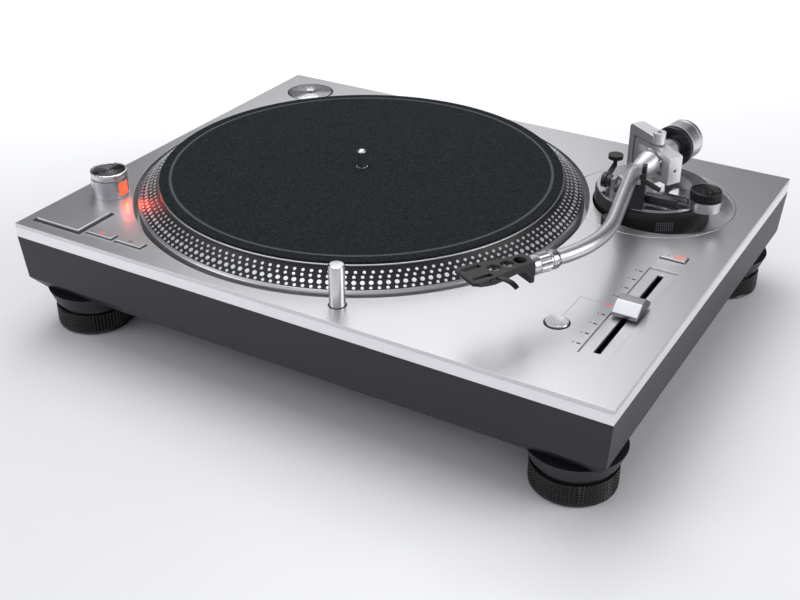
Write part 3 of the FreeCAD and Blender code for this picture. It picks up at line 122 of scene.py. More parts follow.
class StudioProps(bpy.types.PropertyGroup):
    """The studio's light and its camera."""
    floor_tint: colour((0.93, 0.932, 0.955), "Floor", "Colour of the floor")
    haze_tint: colour((0.62, 0.62, 0.62), "Far floor", "How much paler the floor looks far behind")
    lens: bpy.props.FloatProperty(name="Lens", description="Focal length in millimetres on a 36 mm sensor",
                                  default=55.65, min=10.0)
    turn: bpy.props.FloatProperty(name="Camera turn", description="Turn of the camera's view from the rear",
                                  default=0.5311, subtype="ANGLE")
    tilt: bpy.props.FloatProperty(name="Camera tilt", description="Downward tilt of the camera",
                                  default=0.52618, subtype="ANGLE")
    place: bpy.props.FloatVectorProperty(name="Camera place", description="Where the camera stands",
                                         default=(0.40593, -0.71477, 0.47729), subtype="XYZ", unit="LENGTH")


# ---------------------------------------------------------------- shader writing

class Signal:
    """A shader value; arithmetic on it adds the Math nodes it needs."""

    def __init__(self, finish, socket):
        self.finish = finish
        self.socket = socket

    def math(self, operation, *values):
        return self.finish.node("Math", {"operation": operation}, dict(enumerate(values)))

    def __add__(self, other):
        return self.math("ADD", self, other)

    def __sub__(self, other):
        return self.math("SUBTRACT", self, other)

    def __rsub__(self, other):
        return self.math("SUBTRACT", other, self)

    def __mul__(self, other):
        return self.math("MULTIPLY", self, other)

    def __truediv__(self, other):
        return self.math("DIVIDE", self, other)

    def __pow__(self, other):
        return self.math("POWER", self, other)

    def __lt__(self, other):
        return self.math("LESS_THAN", self, other)

    def __gt__(self, other):
        return self.math("GREATER_THAN", self, other)

    def __abs__(self):
        return self.math("ABSOLUTE", self)

    __radd__ = __add__
    __rmul__ = __mul__


class Finish:
    """A material under construction, with one method that adds any node."""

    def __init__(self, name, **shader):
        self.material = bpy.data.materials.new(name)
        self.material.use_nodes = True
        self.tree = self.material.node_tree
        self.shader = self.tree.nodes["Principled BSDF"]
        for key, value in shader.items():
            self.set(key.replace("_", " "), value)

    def set(self, key, value):
        """Set one of the shader's sockets to a number, a colour or a signal."""
        socket = self.shader.inputs[key]
        if isinstance(value, Signal):
            self.tree.links.new(value.socket, socket)
        elif socket.type == "RGBA":
            socket.default_value = (*tuple(value)[:3], 1.0)
        else:
            socket.default_value = value

    def node(self, kind, settings=None, inputs=None, out=0):
        """Add a node with its settings and inputs, and give one of its outputs."""
        node = self.tree.nodes.new("ShaderNode" + kind)
        for key, value in (settings or {}).items():
            if key == "stops":
                ramp = node.color_ramp
                while len(ramp.elements) < len(value):
                    ramp.elements.new(1.0)
                for element, (spot, tint) in zip(ramp.elements, value):
                    element.position = spot
                    element.color = (*tint, 1.0)
            else:
                setattr(node, key, value)
        for key, value in (inputs or {}).items():
            socket = node.inputs[key]
            if isinstance(value, Signal):
                self.tree.links.new(value.socket, socket)
            elif socket.type == "RGBA":
                socket.default_value = (*tuple(value)[:3], 1.0)
            else:
                socket.default_value = value
        return Signal(self, node.outputs[out])

    def place(self, centre=(0, 0, 0), turn=(0, 0, 0)):
        """Object coordinates, moved so that a centre lies at nought and then turned back."""
        where = self.node("TexCoord", out="Object")
        moved = self.node("VectorMath", {"operation": "SUBTRACT"}, {0: where, 1: centre})
        if any(turn):
            moved = self.node("Mapping", {"vector_type": "TEXTURE"}, {"Vector": moved, "Rotation": turn})
        return moved

    def axes(self, where):
        """The three numbers of a place."""
        split = self.node("SeparateXYZ", inputs={0: where})
        return [Signal(self, split.socket.node.outputs[k]) for k in range(3)]

    def noise(self, scale, where=None, detail=2.0, rough=0.5, stretch=None):
        """Noise from nought to one, stretched along an axis where wanted."""
        where = where or self.place()
        if stretch:
            where = self.node("VectorMath", {"operation": "MULTIPLY"}, {0: where, 1: stretch})
        return self.node("TexNoise", {}, {"Vector": where, "Scale": scale, "Detail": detail, "Roughness": rough})

    def mix(self, factor, low, high):
        """A colour between two colours."""
        node = self.node("Mix", {"data_type": "RGBA"}, {0: factor, 6: low, 7: high}, out=2)
        return node

    def bump(self, height, strength, depth):
        """Feed a height into the shader's normal."""
        self.set("Normal", self.node("Bump", {}, {"Strength": strength, "Distance": depth, "Height": height}))


def shaded(colour_value, factor):
    """A colour made lighter or darker."""
    return tuple(min(1.0, c * factor) for c in tuple(colour_value)[:3])


MADE = {}


def finish_once(make):
    """Make each finish once and give the same material again."""
    def wrapped(*values):
        key = (make.__name__, tuple(tuple(v) if hasattr(v, "__len__") and not isinstance(v, str) else v
                                    for v in values))
        if key not in MADE:
            MADE[key] = make(*values)
        return MADE[key]
    return wrapped


@finish_once
def satin_metal(name, tint, rough, grain):
    """Bead-blasted or painted metal: tiny even grain, faint clouding."""
    f = Finish(name, Metallic=0.92)
    cloud = f.noise(9.0, detail=3.0)
    fine = f.noise(grain, detail=1.0)
    f.set("Base Color", f.mix(cloud, shaded(tint, 0.97), shaded(tint, 1.02)))
    f.set("Roughness", fine * 0.08 + (rough - 0.04))
    f.bump(fine, 0.12, 0.00004)
    return f.material


@finish_once
def lathe_metal(name, tint, rough, centre, turn, spread):
    """Metal with the fine rings that a lathe leaves, which fan the light out across them."""
    f = Finish(name, Metallic=1.0)
    x, y, z = f.axes(f.place(centre, turn))
    radius = (x * x + y * y) ** 0.5 + 0.00001
    across, lengthwise = (
        (f.node("TexWhiteNoise", {"noise_dimensions": "1D"}, {"W": place * 90000.0}) - 0.5) * spread
        for place in (radius, z))
    lean = f.node("CombineXYZ", inputs={0: x / radius * across, 1: y / radius * across, 2: lengthwise})
    if any(turn):
        lean = f.node("Mapping", {"vector_type": "POINT"}, {"Vector": lean, "Rotation": turn})
    lean = f.node("VectorTransform", {"vector_type": "VECTOR", "convert_from": "OBJECT", "convert_to": "WORLD"},
                  {0: lean})
    leaning = f.node("VectorMath", {"operation": "ADD"}, {0: f.node("NewGeometry", out=1), 1: lean})
    f.set("Normal", f.node("VectorMath", {"operation": "NORMALIZE"}, {0: leaning}))
    streak = f.noise(2600.0, f.node("CombineXYZ", inputs={0: radius, 1: z, 2: 0.0}), detail=3.0, rough=0.7)
    f.set("Base Color", f.mix(streak, shaded(tint, 0.90), shaded(tint, 1.06)))
    f.set("Roughness", streak * 0.12 + (rough - 0.06))
    return f.material


@finish_once
def polished_metal(name, tint, rough):
    """Chrome or polished aluminium with hairline wear."""
    f = Finish(name, Metallic=1.0, Base_Color=tint)
    hair = f.noise(420.0, detail=4.0, rough=0.7, stretch=(1.0, 1.0, 0.15))
    f.set("Roughness", hair * 0.10 + rough)
    f.set("Base Color", f.mix(hair, shaded(tint, 0.95), shaded(tint, 1.0)))
    return f.material


@finish_once
def moulded(name, tint, rough, grain, depth):
    """Moulded plastic or rubber with a fine spark-eroded grain."""
    f = Finish(name)
    fine = f.noise(grain, detail=2.0, rough=0.6)
    cloud = f.noise(14.0, detail=4.0)
    f.set("Base Color", f.mix(cloud, shaded(tint, 0.85), shaded(tint, 1.15)))
    f.set("Roughness", fine * 0.12 + cloud * 0.06 + (rough - 0.09))
    f.bump(fine, 0.35, depth)
    return f.material


@finish_once
def knurled(name, tint, metallic, rough, centre, turn, teeth, lead, depth):
    """A diamond knurl round an axis: two sets of slanting grooves, with painted shade in the grooves and painted
    highlights on the ridges.
    """
    f = Finish(name, Metallic=metallic)
    x, y, z = f.axes(f.place(centre, turn))
    angle = x.math("ARCTAN2", y, x) * teeth
    rise = z * lead
    one = (angle + rise).math("SINE", angle + rise)
    two = (angle - rise).math("SINE", angle - rise)
    height = one.math("MAXIMUM", one, two)
    # Painted shade and highlight: the colour is darker where the bump sinks into a groove and lighter on the raised
    # ridges.
    f.set("Base Color", f.mix(height * 0.5 + 0.5, shaded(tint, 1.5), shaded(tint, 0.45)))
    f.set("Roughness", height * 0.1 + rough)
    f.bump(1.0 - height, 0.9, depth)
    return f.material


@finish_once
def felt(name, tint, ring, centre):
    """Felt: short fibres, soft mottling and a thin printed ring."""
    f = Finish(name, Roughness=0.97, Specular_IOR_Level=0.12)
    where = f.place(centre)
    x, y, z = f.axes(where)
    radius = (x * x + y * y) ** 0.5
    in_ring = (abs(radius - 0.14145) < 0.0010)
    fibre = f.noise(480.0, where, detail=3.0, rough=0.85)
    mottle = f.noise(60.0, where, detail=5.0, rough=0.6)
    ground = f.mix(fibre.math("SMOOTH_MAX", (fibre - 0.3) * 2.5, 0.0, 0.05), shaded(tint, 0.30), shaded(tint, 3.4))
    ground = f.mix(mottle * 0.4, ground, shaded(tint, 1.25))
    f.set("Base Color", f.mix(in_ring * (fibre * 0.5 + 0.65), ground, ring))
    f.bump(fibre + mottle * 0.6, 0.6, 0.0004)
    return f.material


@finish_once
def plain(name, tint, rough, metallic):
    """A small part's finish: slight mottling in colour and gloss."""
    f = Finish(name, Metallic=metallic)
    fine = f.noise(320.0, detail=3.0)
    f.set("Base Color", f.mix(fine, shaded(tint, 0.88), shaded(tint, 1.08)))
    f.set("Roughness", fine * 0.1 + (rough - 0.05))
    f.bump(fine, 0.15, 0.00004)
    return f.material


@finish_once
def screw_metal(name, tint, centre, turn):
    """A brass-toned screw whose end has a hexagon socket round its axis, painted dark as the shade inside it."""
    f = Finish(name, Metallic=1.0)
    x, y, z = f.axes(f.place(centre, turn))
    side = abs(x).math("MAXIMUM", abs(x), abs(x) * 0.5 + abs(y) * 0.866)
    fine = f.noise(500.0, detail=2.0)
    # The socket is not modelled: a flat near-black hexagon is painted shade standing for the hollow of the socket.
    f.set("Base Color", f.mix(side < 0.0009, f.mix(fine, shaded(tint, 0.85), shaded(tint, 1.1)),
                              (0.012, 0.011, 0.010)))
    f.set("Roughness", fine * 0.1 + 0.2)
    return f.material


@finish_once
def dark_shell(name, tint, rough):
    """Anodised headshell: dark, with a faint brush along its length."""
    f = Finish(name, Metallic=0.55)
    brush = f.noise(700.0, f.place(tuple(STYLUS), (0, 0, SHELL_YAW)), detail=3.0, stretch=(1.0, 0.06, 1.0))
    f.set("Base Color", f.mix(brush, shaded(tint, 0.8), shaded(tint, 1.25)))
    f.set("Roughness", brush * 0.12 + (rough - 0.06))
    f.bump(brush, 0.15, 0.00003)
    return f.material


@finish_once
def glowing(name, tint, strength):
    """Lit translucent plastic, brighter in its middle grain."""
    f = Finish(name, Roughness=0.25, Emission_Strength=strength)
    fine = f.noise(240.0, detail=2.0)
    f.set("Base Color", f.mix(fine, shaded(tint, 0.6), shaded(tint, 0.9)))
    f.set("Emission Color", f.mix(fine, shaded(tint, 0.8), tint))
    return f.material


# ---------------------------------------------------------------- mesh helpers

def new_piece(name, mesh, material, body, sharp=35, stands_for=()):
    """Turn a bmesh into a finished piece that rides on a body."""
    data = bpy.data.meshes.new(name)
    for face in mesh.faces:
        face.smooth = True
    mesh.to_mesh(data)
    mesh.free()
    data.set_sharp_from_angle(angle=math.radians(sharp))
    piece = bpy.data.objects.new(name, data)
    bpy.context.scene.collection.objects.link(piece)
    for one in (material if isinstance(material, (list, tuple)) else [material]):
        data.materials.append(one)
    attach(piece, body)
    if stands_for:
        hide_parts(*stands_for)
    return piece


def weighted(piece):
    """Keep flat faces flat beside eased edges."""
    piece.modifiers.new("flat_faces", "WEIGHTED_NORMAL").keep_sharp = True
    return piece


def lathe(profile, centre=(0, 0, 0), frame_turn=None, steps=96):
    """A closed turned shape from (radius, height) pairs about the local Z axis."""
    mesh = bmesh.new()
    spots = [mesh.verts.new((r * MM, 0.0, h * MM)) for r, h in profile]
    edges = [mesh.edges.new(pair) for pair in zip(spots, spots[1:] + spots[:1])]
    bmesh.ops.spin(mesh, geom=spots + edges, cent=(0, 0, 0), axis=(0, 0, 1), angle=2 * math.pi, steps=steps,
                   use_merge=True, use_duplicate=False)
    bmesh.ops.remove_doubles(mesh, verts=mesh.verts[:], dist=1e-7)
    bmesh.ops.dissolve_degenerate(mesh, dist=1e-8, edges=mesh.edges[:])
    bmesh.ops.recalc_face_normals(mesh, faces=mesh.faces[:])
    move = Matrix.Translation(Vector(centre)) @ (frame_turn or Matrix())
    bmesh.ops.transform(mesh, matrix=move, verts=mesh.verts[:])
    return mesh


def knurl(mesh, centre, frame_turn, radius, teeth, depth, low, high, rows=0):
    """Press a groove between teeth into a turned wall, at every third step, and rows across them."""
    place = Matrix.Translation(Vector(centre)) @ (frame_turn or Matrix())
    inward = 1 - depth / radius
    for vert in mesh.verts:
        spot = place.inverted() @ vert.co
        if abs(math.hypot(spot.x, spot.y) - radius) > 0.00002 or not low - 0.00001 < spot.z < high + 0.00001:
            continue
        column = round(math.atan2(spot.y, spot.x) / (2 * math.pi / (3 * teeth)))
        row = round((spot.z - low) / (high - low) * 3 * rows) if rows else 1
        if column % 3 == 0 or row % 3 == 0:
            vert.co = place @ Vector((spot.x * inward, spot.y * inward, spot.z))


def along(yaw):
    """Turn local Z into the direction that an arm frame calls +Y."""
    return Matrix.Rotation(yaw, 4, "Z") @ Matrix.Rotation(math.radians(-90), 4, "X")


def refined(node, material, ease, name=None, sharp=25, segments=2):
    """A welded copy of a CAD piece with eased edges, which stands for it."""
    mesh = bmesh.new()
    mesh.from_mesh(NODES[node].data)
    bmesh.ops.remove_doubles(mesh, verts=mesh.verts[:], dist=2e-6)
    bmesh.ops.dissolve_limit(mesh, angle_limit=math.radians(0.6), verts=mesh.verts[:], edges=mesh.edges[:])
    edges = [e for e in mesh.edges if len(e.link_faces) == 2 and e.calc_face_angle() > math.radians(sharp)]
    if ease:
        bmesh.ops.bevel(mesh, geom=edges, offset=ease, segments=segments, profile=0.5, affect="EDGES",
                        clamp_overlap=True, material=-1, miter_outer="ARC")
    piece = new_piece(name or node + "_finished", mesh, material, BODY_OF[node],
                      stands_for=[node])
    return weighted(piece)


def dress(node, material):
    """Give a CAD node its finish and leave its shape alone."""
    data = NODES[node].data
    data.materials.clear()
    data.materials.append(material)


def block(mesh, size, centre, turn=None):
    """Add a box to a mesh."""
    place = Matrix.Translation(Vector(centre)) @ (turn or Matrix()) @ Matrix.Diagonal((*size, 1.0))
    bmesh.ops.create_cube(mesh, size=1.0, matrix=place)


def printed(name, spots, material, body, thick=0.00004):
    """Thin flat bars on the top plate, from (x, y, width, depth) in millimetres: printed marks, and painted shade in
    the gaps round the keys.
    """
    mesh = bmesh.new()
    for x, y, wide, deep in spots:
        block(mesh, (wide * MM, deep * MM, thick), (x * MM, y * MM, DECK + thick / 2))
    return new_piece(name, mesh, material, body)


def figures(name, text, size, centre, material, body, turn=None, thick=0.00003):
    """Plain numbers as a thin printed layer."""
    curve = bpy.data.curves.new(name, "FONT")
    curve.body = text
    curve.size = size
    curve.align_x = "CENTER"
    curve.align_y = "CENTER"
    curve.extrude = thick
    curve.resolution_u = 3
    writer = bpy.data.objects.new(name + "_writer", curve)
    bpy.context.scene.collection.objects.link(writer)
    bpy.context.view_layer.update()
    data = bpy.data.meshes.new_from_object(writer)
    bpy.data.objects.remove(writer)
    mesh = bmesh.new()
    mesh.from_mesh(data)
    bmesh.ops.transform(mesh, matrix=Matrix.Translation(Vector(centre)) @ (turn or Matrix()), verts=mesh.verts[:])
    return new_piece(name, mesh, material, body)


# ---------------------------------------------------------------- pieces

def deck():
    return bpy.context.scene.turntable_plinth


def spin_sizes():
    return bpy.context.scene.turntable_platter


def arm_looks():
    return bpy.context.scene.turntable_arm


def silver():
    return satin_metal("satin_plate", deck().plate_tint, deck().plate_rough, 2600.0)


def arm_silver():
    return satin_metal("satin_arm", arm_looks().arm_tint, arm_looks().arm_rough, 3200.0)


def black_part():
    return moulded("black_plastic", (0.014, 0.0142, 0.0155), 0.36, 1800.0, 0.00003)


class TURNTABLE_OT_plinth(bpy.types.Operator):
    """Top plate, silver frame and black tub"""
    bl_idname = "turntable.plinth"
    bl_label = "Plinth"

    def execute(self, context):
        refined("top_plate", silver(), deck().plate_ease)
        refined("cabinet_frame", satin_metal("satin_frame", (0.90, 0.90, 0.92), 0.40, 2600.0), deck().plate_ease)
        refined("base_tub", moulded("tub_black", deck().tub_tint, deck().tub_rough, 1500.0, 0.00005),
                deck().tub_ease)
        return {"FINISHED"}


class TURNTABLE_OT_feet(bpy.types.Operator):
    """Four screw-in feet with a knurled ring and a groove"""
    bl_idname = "turntable.feet"
    bl_label = "Feet"

    def execute(self, context):
        groove = deck().groove / MM
        for corner in ("front_left", "front_right", "rear_left", "rear_right"):
            node = "foot_" + corner
            low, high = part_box(node)
            centre = ((low.x + high.x) / 2, (low.y + high.y) / 2, 0.0)
            rubber = moulded("foot_rubber", deck().foot_tint, 0.24, 1800.0, 0.00001)
            foot, top, rows, teeth = 2.6, 18.3 - groove, 6, 68
            wall = [(28, foot + (top - foot) * k / (3 * rows)) for k in range(3 * rows + 1)]
            profile = [(0, 0), (25.6, 0), (26.5, 0.3), (27.6, 1.4), *wall, (27.4, 18.9 - groove),
                       (25.2, 19.1 - groove), (24.9, 19.4), (0, 19.4)]
            mesh = lathe(profile, centre, steps=3 * teeth)
            knurl(mesh, centre, None, 28 * MM, teeth, 0.0010, foot * MM, top * MM, rows)
            new_piece(node + "_ring", mesh, rubber, node, sharp=20, stands_for=[node])
            stem = [(0, 19.0), (5.0, 19.0), (5.0, 29.5), (0, 29.5)]
            new_piece(node + "_screw", lathe(stem, centre, steps=32),
                      plain("foot_screw", (0.35, 0.35, 0.36), 0.35, 1.0), node)
        return {"FINISHED"}


class TURNTABLE_OT_platter(bpy.types.Operator):
    """Turned platter, its black cone and four rings of strobe dots"""
    bl_idname = "turntable.platter"
    bl_label = "Platter"

    # Radius of the ring, number of dots in it, and whether they are the large ones.
    rings = ((153.2, 169, False), (156.2, 174, False), (159.7, 180, True), (162.9, 186, False))

    def execute(self, context):
        centre = (PLATTER.x, PLATTER.y, DECK)
        metal = lathe_metal("platter_metal", (0.70, 0.70, 0.72), 0.28, centre, (0, 0, 0), 0.10)
        cone = plain("cone_black", (0.010, 0.010, 0.012), 0.38, 0.0)
        body = [(3.62, 6.4), (3.62, 13.4), (149.6, 13.4), (150.0, 13.2), (150.2, 12.6), (150.75, 11.2), (150.9, 10.9),
                (164.2, 2.4), (165.5, 1.25), (165.9, 0.9), (166.0, 0.6), (166.0, -8.0), (160.0, -8.0),
                (160.0, 0.0), (148.0, 6.4)]
        mesh = lathe(body, centre, steps=360)
        low, high = 150.3 * MM, 163.6 * MM
        for face in mesh.faces:
            middle = face.calc_center_median() - Vector(centre)
            radius = math.hypot(middle.x, middle.y)
            if low < radius < high and middle.z > 2.0 * MM:
                face.material_index = 1
        new_piece("platter_turned", mesh, [metal, cone], "rotor", stands_for=["platter"])

        slope = math.atan2(10.9 - 2.4, 164.2 - 150.9)
        dots = bmesh.new()
        sizes = spin_sizes()
        for ring, number, large in self.rings:
            height = 10.9 - (ring - 150.9) * math.tan(slope)
            wide = sizes.dot_large if large else sizes.dot_small
            for k in range(number):
                turn = Matrix.Rotation(2 * math.pi * k / number, 4, "Z")
                lean = Matrix.Translation((ring * MM, 0, height * MM)) @ Matrix.Rotation(slope, 4, "Y")
                bmesh.ops.create_cone(dots, cap_ends=True, segments=12, radius1=wide, radius2=wide * 0.88,
                                      depth=2 * sizes.dot_proud,
                                      matrix=Matrix.Translation(Vector(centre)) @ turn @ lean)
        new_piece("strobe_dots", dots, plain("dot_silver", (0.78, 0.79, 0.82), 0.36, 0.6), "rotor")
        return {"FINISHED"}


class TURNTABLE_OT_mat(bpy.types.Operator):
    """Felt mat with a thin ring, and the polished spindle"""
    bl_idname = "turntable.mat"
    bl_label = "Mat and spindle"

    def execute(self, context):
        centre = (PLATTER.x, PLATTER.y, DECK)
        cloth = felt("mat_felt", spin_sizes().mat_tint, spin_sizes().ring_tint, centre)
        mat = lathe([(4.45, 13.42), (149.2, 13.42), (149.4, 13.7), (149.4, 14.8), (149.0, 15.15),
                     (148.6, 15.2), (4.7, 15.2), (4.45, 15.0)], centre, steps=256)
        new_piece("slipmat_felt", mat, cloth, "slipmat", stands_for=["slipmat"])
        pin = lathe([(0, 8), (3.6, 8), (3.6, 15.38), (3.5, 15.5), (3.5, 15.9), (3.57, 16.1), (3.57, 26.9),
                     (3.2, 28.0), (2.3, 28.8), (1.2, 29.15), (0, 29.2)], centre, steps=64)
        new_piece("spindle_pin", pin, polished_metal("spindle_chrome", (0.80, 0.80, 0.82), 0.12), "rotor")
        dress("spindle", plain("spindle_steel", (0.45, 0.45, 0.47), 0.3, 1.0))
        return {"FINISHED"}


class TURNTABLE_OT_power(bpy.types.Operator):
    """Power tower with its lit window, and the knob on top"""
    bl_idname = "turntable.power"
    bl_label = "Power tower"

    def execute(self, context):
        centre = (-0.201, -0.1045, DECK)
        refined("strobe_tower", lathe_metal("tower_metal", (0.62, 0.62, 0.64), 0.28, centre, (0, 0, 0), 0.35),
                0.0002)
        refined("strobe_window", glowing("window_red", (1.0, 0.12, 0.045), 1.05), 0.0003)
        cap = lathe([(0, -10.5), (4, -10.5), (4, 14.4), (12.6, 14.4), (13.3, 14.6), (13.5, 14.9), (13.5, 18.6),
                     (13.3, 19.1), (12.9, 19.3), (12.3, 19.35), (11.9, 19.0), (11.5, 18.8), (0, 18.9)], centre,
                    steps=96)
        gloss = lathe_metal("knob_black", (0.10, 0.10, 0.106), 0.14, centre, (0, 0, 0), 1.0)
        rim = lathe_metal("knob_rim", (0.76, 0.76, 0.78), 0.22, centre, (0, 0, 0), 0.35)
        for face in cap.faces:
            middle = face.calc_center_median() - Vector(centre)
            radius = math.hypot(middle.x, middle.y)
            if middle.z > 0.0144 and radius > 0.0117:
                face.material_index = 1
        new_piece("power_knob_cap", cap, [gloss, rim], "power_knob", stands_for=["power_knob"])
        return {"FINISHED"}


class TURNTABLE_OT_buttons(bpy.types.Operator):
    """Start, speed, reset and range keys with their plain numbers, and painted shade in the gaps round them"""
    bl_idname = "turntable.buttons"
    bl_label = "Keys"

    def execute(self, context):
        key = satin_metal("key_silver", (0.68, 0.68, 0.70), 0.34, 2600.0)
        refined("start_stop_button", key, 0.0008, segments=3)
        # Black bars round each key: painted shade standing for the shadow in the gap round it.
        shadow = plain("gap_black", (0.010, 0.010, 0.011), 0.6, 0.0)
        for node, gap in (("start_stop_button", 2.1), ("speed_button_33", 1.0), ("speed_button_45", 1.0),
                          ("pitch_range_button", 0.7)):
            low, high = (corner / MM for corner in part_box(node))
            middle, wide, deep = (low + high) / 2, high.x - low.x + 2 * gap, high.y - low.y + 2 * gap
            printed(node + "_gap", [(middle.x, low.y - gap / 2, wide, gap), (middle.x, high.y + gap / 2, wide, gap),
                                    (low.x - gap / 2, middle.y, gap, deep - 2 * gap),
                                    (high.x + gap / 2, middle.y, gap, deep - 2 * gap)], shadow, "plinth")
        for node, text in (("speed_button_33", "33"), ("speed_button_45", "45")):
            refined(node, key, 0.0004)
            low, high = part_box(node)
            ink = (glowing("figure_red", (1.0, 0.06, 0.03), 1.3) if text == "33" else
                   plain("figure_dark", (0.03, 0.03, 0.035), 0.5, 0.0))
            figures(node + "_figure", text, 0.0040, ((low.x + high.x) / 2, (low.y + high.y) / 2, high.z + 0.00002),
                    ink, node)
        low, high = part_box("reset_button")
        centre = ((low.x + high.x) / 2, (low.y + high.y) / 2, DECK)
        cap = lathe([(0, -8.5), (7.5, -8.5), (7.5, 0.9), (7.2, 1.3), (6.6, 1.4), (6.2, 1.35), (3.0, 1.15), (0, 1.1)],
                    centre, steps=64)
        new_piece("reset_cap", cap, lathe_metal("reset_metal", (0.66, 0.66, 0.68), 0.20, centre, (0, 0, 0), 0.6),
                  "reset_button", stands_for=["reset_button"])
        # A thin black ring round the reset key: painted shade standing for the shadow in its gap.
        ring = lathe([(7.52, 0.0), (8.5, 0.0), (8.5, 0.04), (7.52, 0.04)], centre, steps=64)
        new_piece("reset_button_gap", ring, shadow, "plinth")
        refined("pitch_range_button", key, 0.0004)
        low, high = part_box("pitch_range_button")
        lit = bmesh.new()
        block(lit, (0.0078, 0.0064, 0.00004), (high.x - 0.0049, (low.y + high.y) / 2, high.z + 0.00002))
        new_piece("range_lamp", lit, glowing("range_pale_red", (0.86, 0.42, 0.36), 0.12), "pitch_range_button")
        figures("range_figure", "2", 0.0030, (low.x + 0.0045, (low.y + high.y) / 2, high.z + 0.00002),
                plain("figure_dark", (0.03, 0.03, 0.035), 0.5, 0.0), "pitch_range_button")
        return {"FINISHED"}


class TURNTABLE_OT_fader(bpy.types.Operator):
    """Pitch fader with its wedge slider, its scale and the line from the reset key"""
    bl_idname = "turntable.fader"
    bl_label = "Pitch fader"

    step = 12.9
    mark_x = 181.3
    turn_x = 160.3

    def execute(self, context):
        refined("fader_bezel", satin_metal("bezel_silver", (0.70, 0.70, 0.72), 0.34, 2600.0), 0.0003)
        dress("fader_rail", black_part())
        refined("pitch_slider", satin_metal("slider_silver", (0.40, 0.40, 0.43), 0.30, 2600.0), 0.0005, segments=3)
        low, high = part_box("fader_bezel")
        middle = (low.y + high.y) / 2 / MM
        ink = plain("scale_ink", (0.035, 0.036, 0.042), 0.5, 0.0)
        printed("pitch_scale_marks", [(self.mark_x, middle + self.step * k, 2.6, 1.4)
                                      for k in range(-4, 5) if k], ink, "plinth")
        printed("pitch_centre_mark", [(self.mark_x - 1.6, middle, 5.4, 1.25)],
                glowing("centre_red", (0.95, 0.13, 0.09), 0.5), "plinth")
        line_y = middle + 0.4
        key_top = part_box("reset_button")[1].y / MM + 1.2
        printed("reset_line", [(self.turn_x, (key_top + line_y) / 2, 0.28, line_y - key_top),
                               ((self.turn_x + self.mark_x - 4.6) / 2, line_y, self.mark_x - 4.6 - self.turn_x,
                                0.28)],
                plain("line_grey", (0.30, 0.31, 0.34), 0.5, 0.0), "plinth")
        for k in range(-4, 5):
            if k:
                figures(f"pitch_figure_{k + 4}", str(2 * abs(k)), 0.0026,
                        ((self.mark_x - 3.4) * MM, (middle + self.step * k) * MM, DECK + 0.00002), ink, "plinth")
        return {"FINISHED"}


class TURNTABLE_OT_light(bpy.types.Operator):
    """Pop-up light and the record adaptor"""
    bl_idname = "turntable.light"
    bl_label = "Light and adaptor"

    def execute(self, context):
        low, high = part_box("stylus_light")
        centre = ((low.x + high.x) / 2, (low.y + high.y) / 2, DECK)
        post = lathe([(0, -13), (5.3, -13), (5.3, 28.0), (5.1, 28.6), (4.6, 28.9), (4.2, 29.0), (0, 29.0)], centre,
                     steps=64)
        new_piece("light_post", post, lathe_metal("light_metal", (0.74, 0.74, 0.76), 0.18, centre, (0, 0, 0), 0.25),
                  "stylus_light", stands_for=["stylus_light"])
        dress("light_sleeve", black_part())
        dress("adaptor_cup", black_part())
        low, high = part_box("single_adaptor")
        centre = ((low.x + high.x) / 2, (low.y + high.y) / 2, DECK)
        disc = lathe([(3.8, -6), (19.3, -6), (19.3, -0.3), (18.9, 0.3), (18.5, 0.5), (5.2, 0.5), (4.8, 0.2),
                      (4.5, -0.2), (3.8, -0.3)], centre, steps=96)
        new_piece("adaptor_disc", disc, lathe_metal("adaptor_metal", (0.62, 0.62, 0.64), 0.18, centre, (0, 0, 0),
                                                    0.8), "single_adaptor",
                  stands_for=["single_adaptor"])
        return {"FINISHED"}


class TURNTABLE_OT_rear(bpy.types.Operator):
    """Rear cups, sockets and the ground terminal"""
    bl_idname = "turntable.rear"
    bl_label = "Rear sockets"

    def execute(self, context):
        for node in ("jacks_cup", "inlet_cup", "mains_inlet"):
            refined(node, black_part(), 0.0003)
        dress("phono_jacks", polished_metal("jack_nickel", (0.72, 0.70, 0.66), 0.18))
        dress("ground_terminal", polished_metal("terminal_nickel", (0.70, 0.69, 0.66), 0.22))
        return {"FINISHED"}


class TURNTABLE_OT_inside(bpy.types.Operator):
    """Finishes of the pieces inside the plinth"""
    bl_idname = "turntable.inside"
    bl_label = "Inner pieces"

    def execute(self, context):
        steel = plain("inner_steel", (0.50, 0.50, 0.52), 0.35, 1.0)
        for node in ("bearing_housing", "rotor_hub", "power_supply"):
            dress(node, steel)
        for node in ("motor_board", "main_board", "key_switches"):
            dress(node, plain("board_green", (0.010, 0.09, 0.035), 0.4, 0.0))
        dress("motor_coils", plain("coil_copper", (0.75, 0.30, 0.12), 0.35, 1.0))
        dress("rotor_magnet", plain("magnet_grey", (0.05, 0.05, 0.055), 0.5, 0.3))
        dress("platter_damper", black_part())
        return {"FINISHED"}


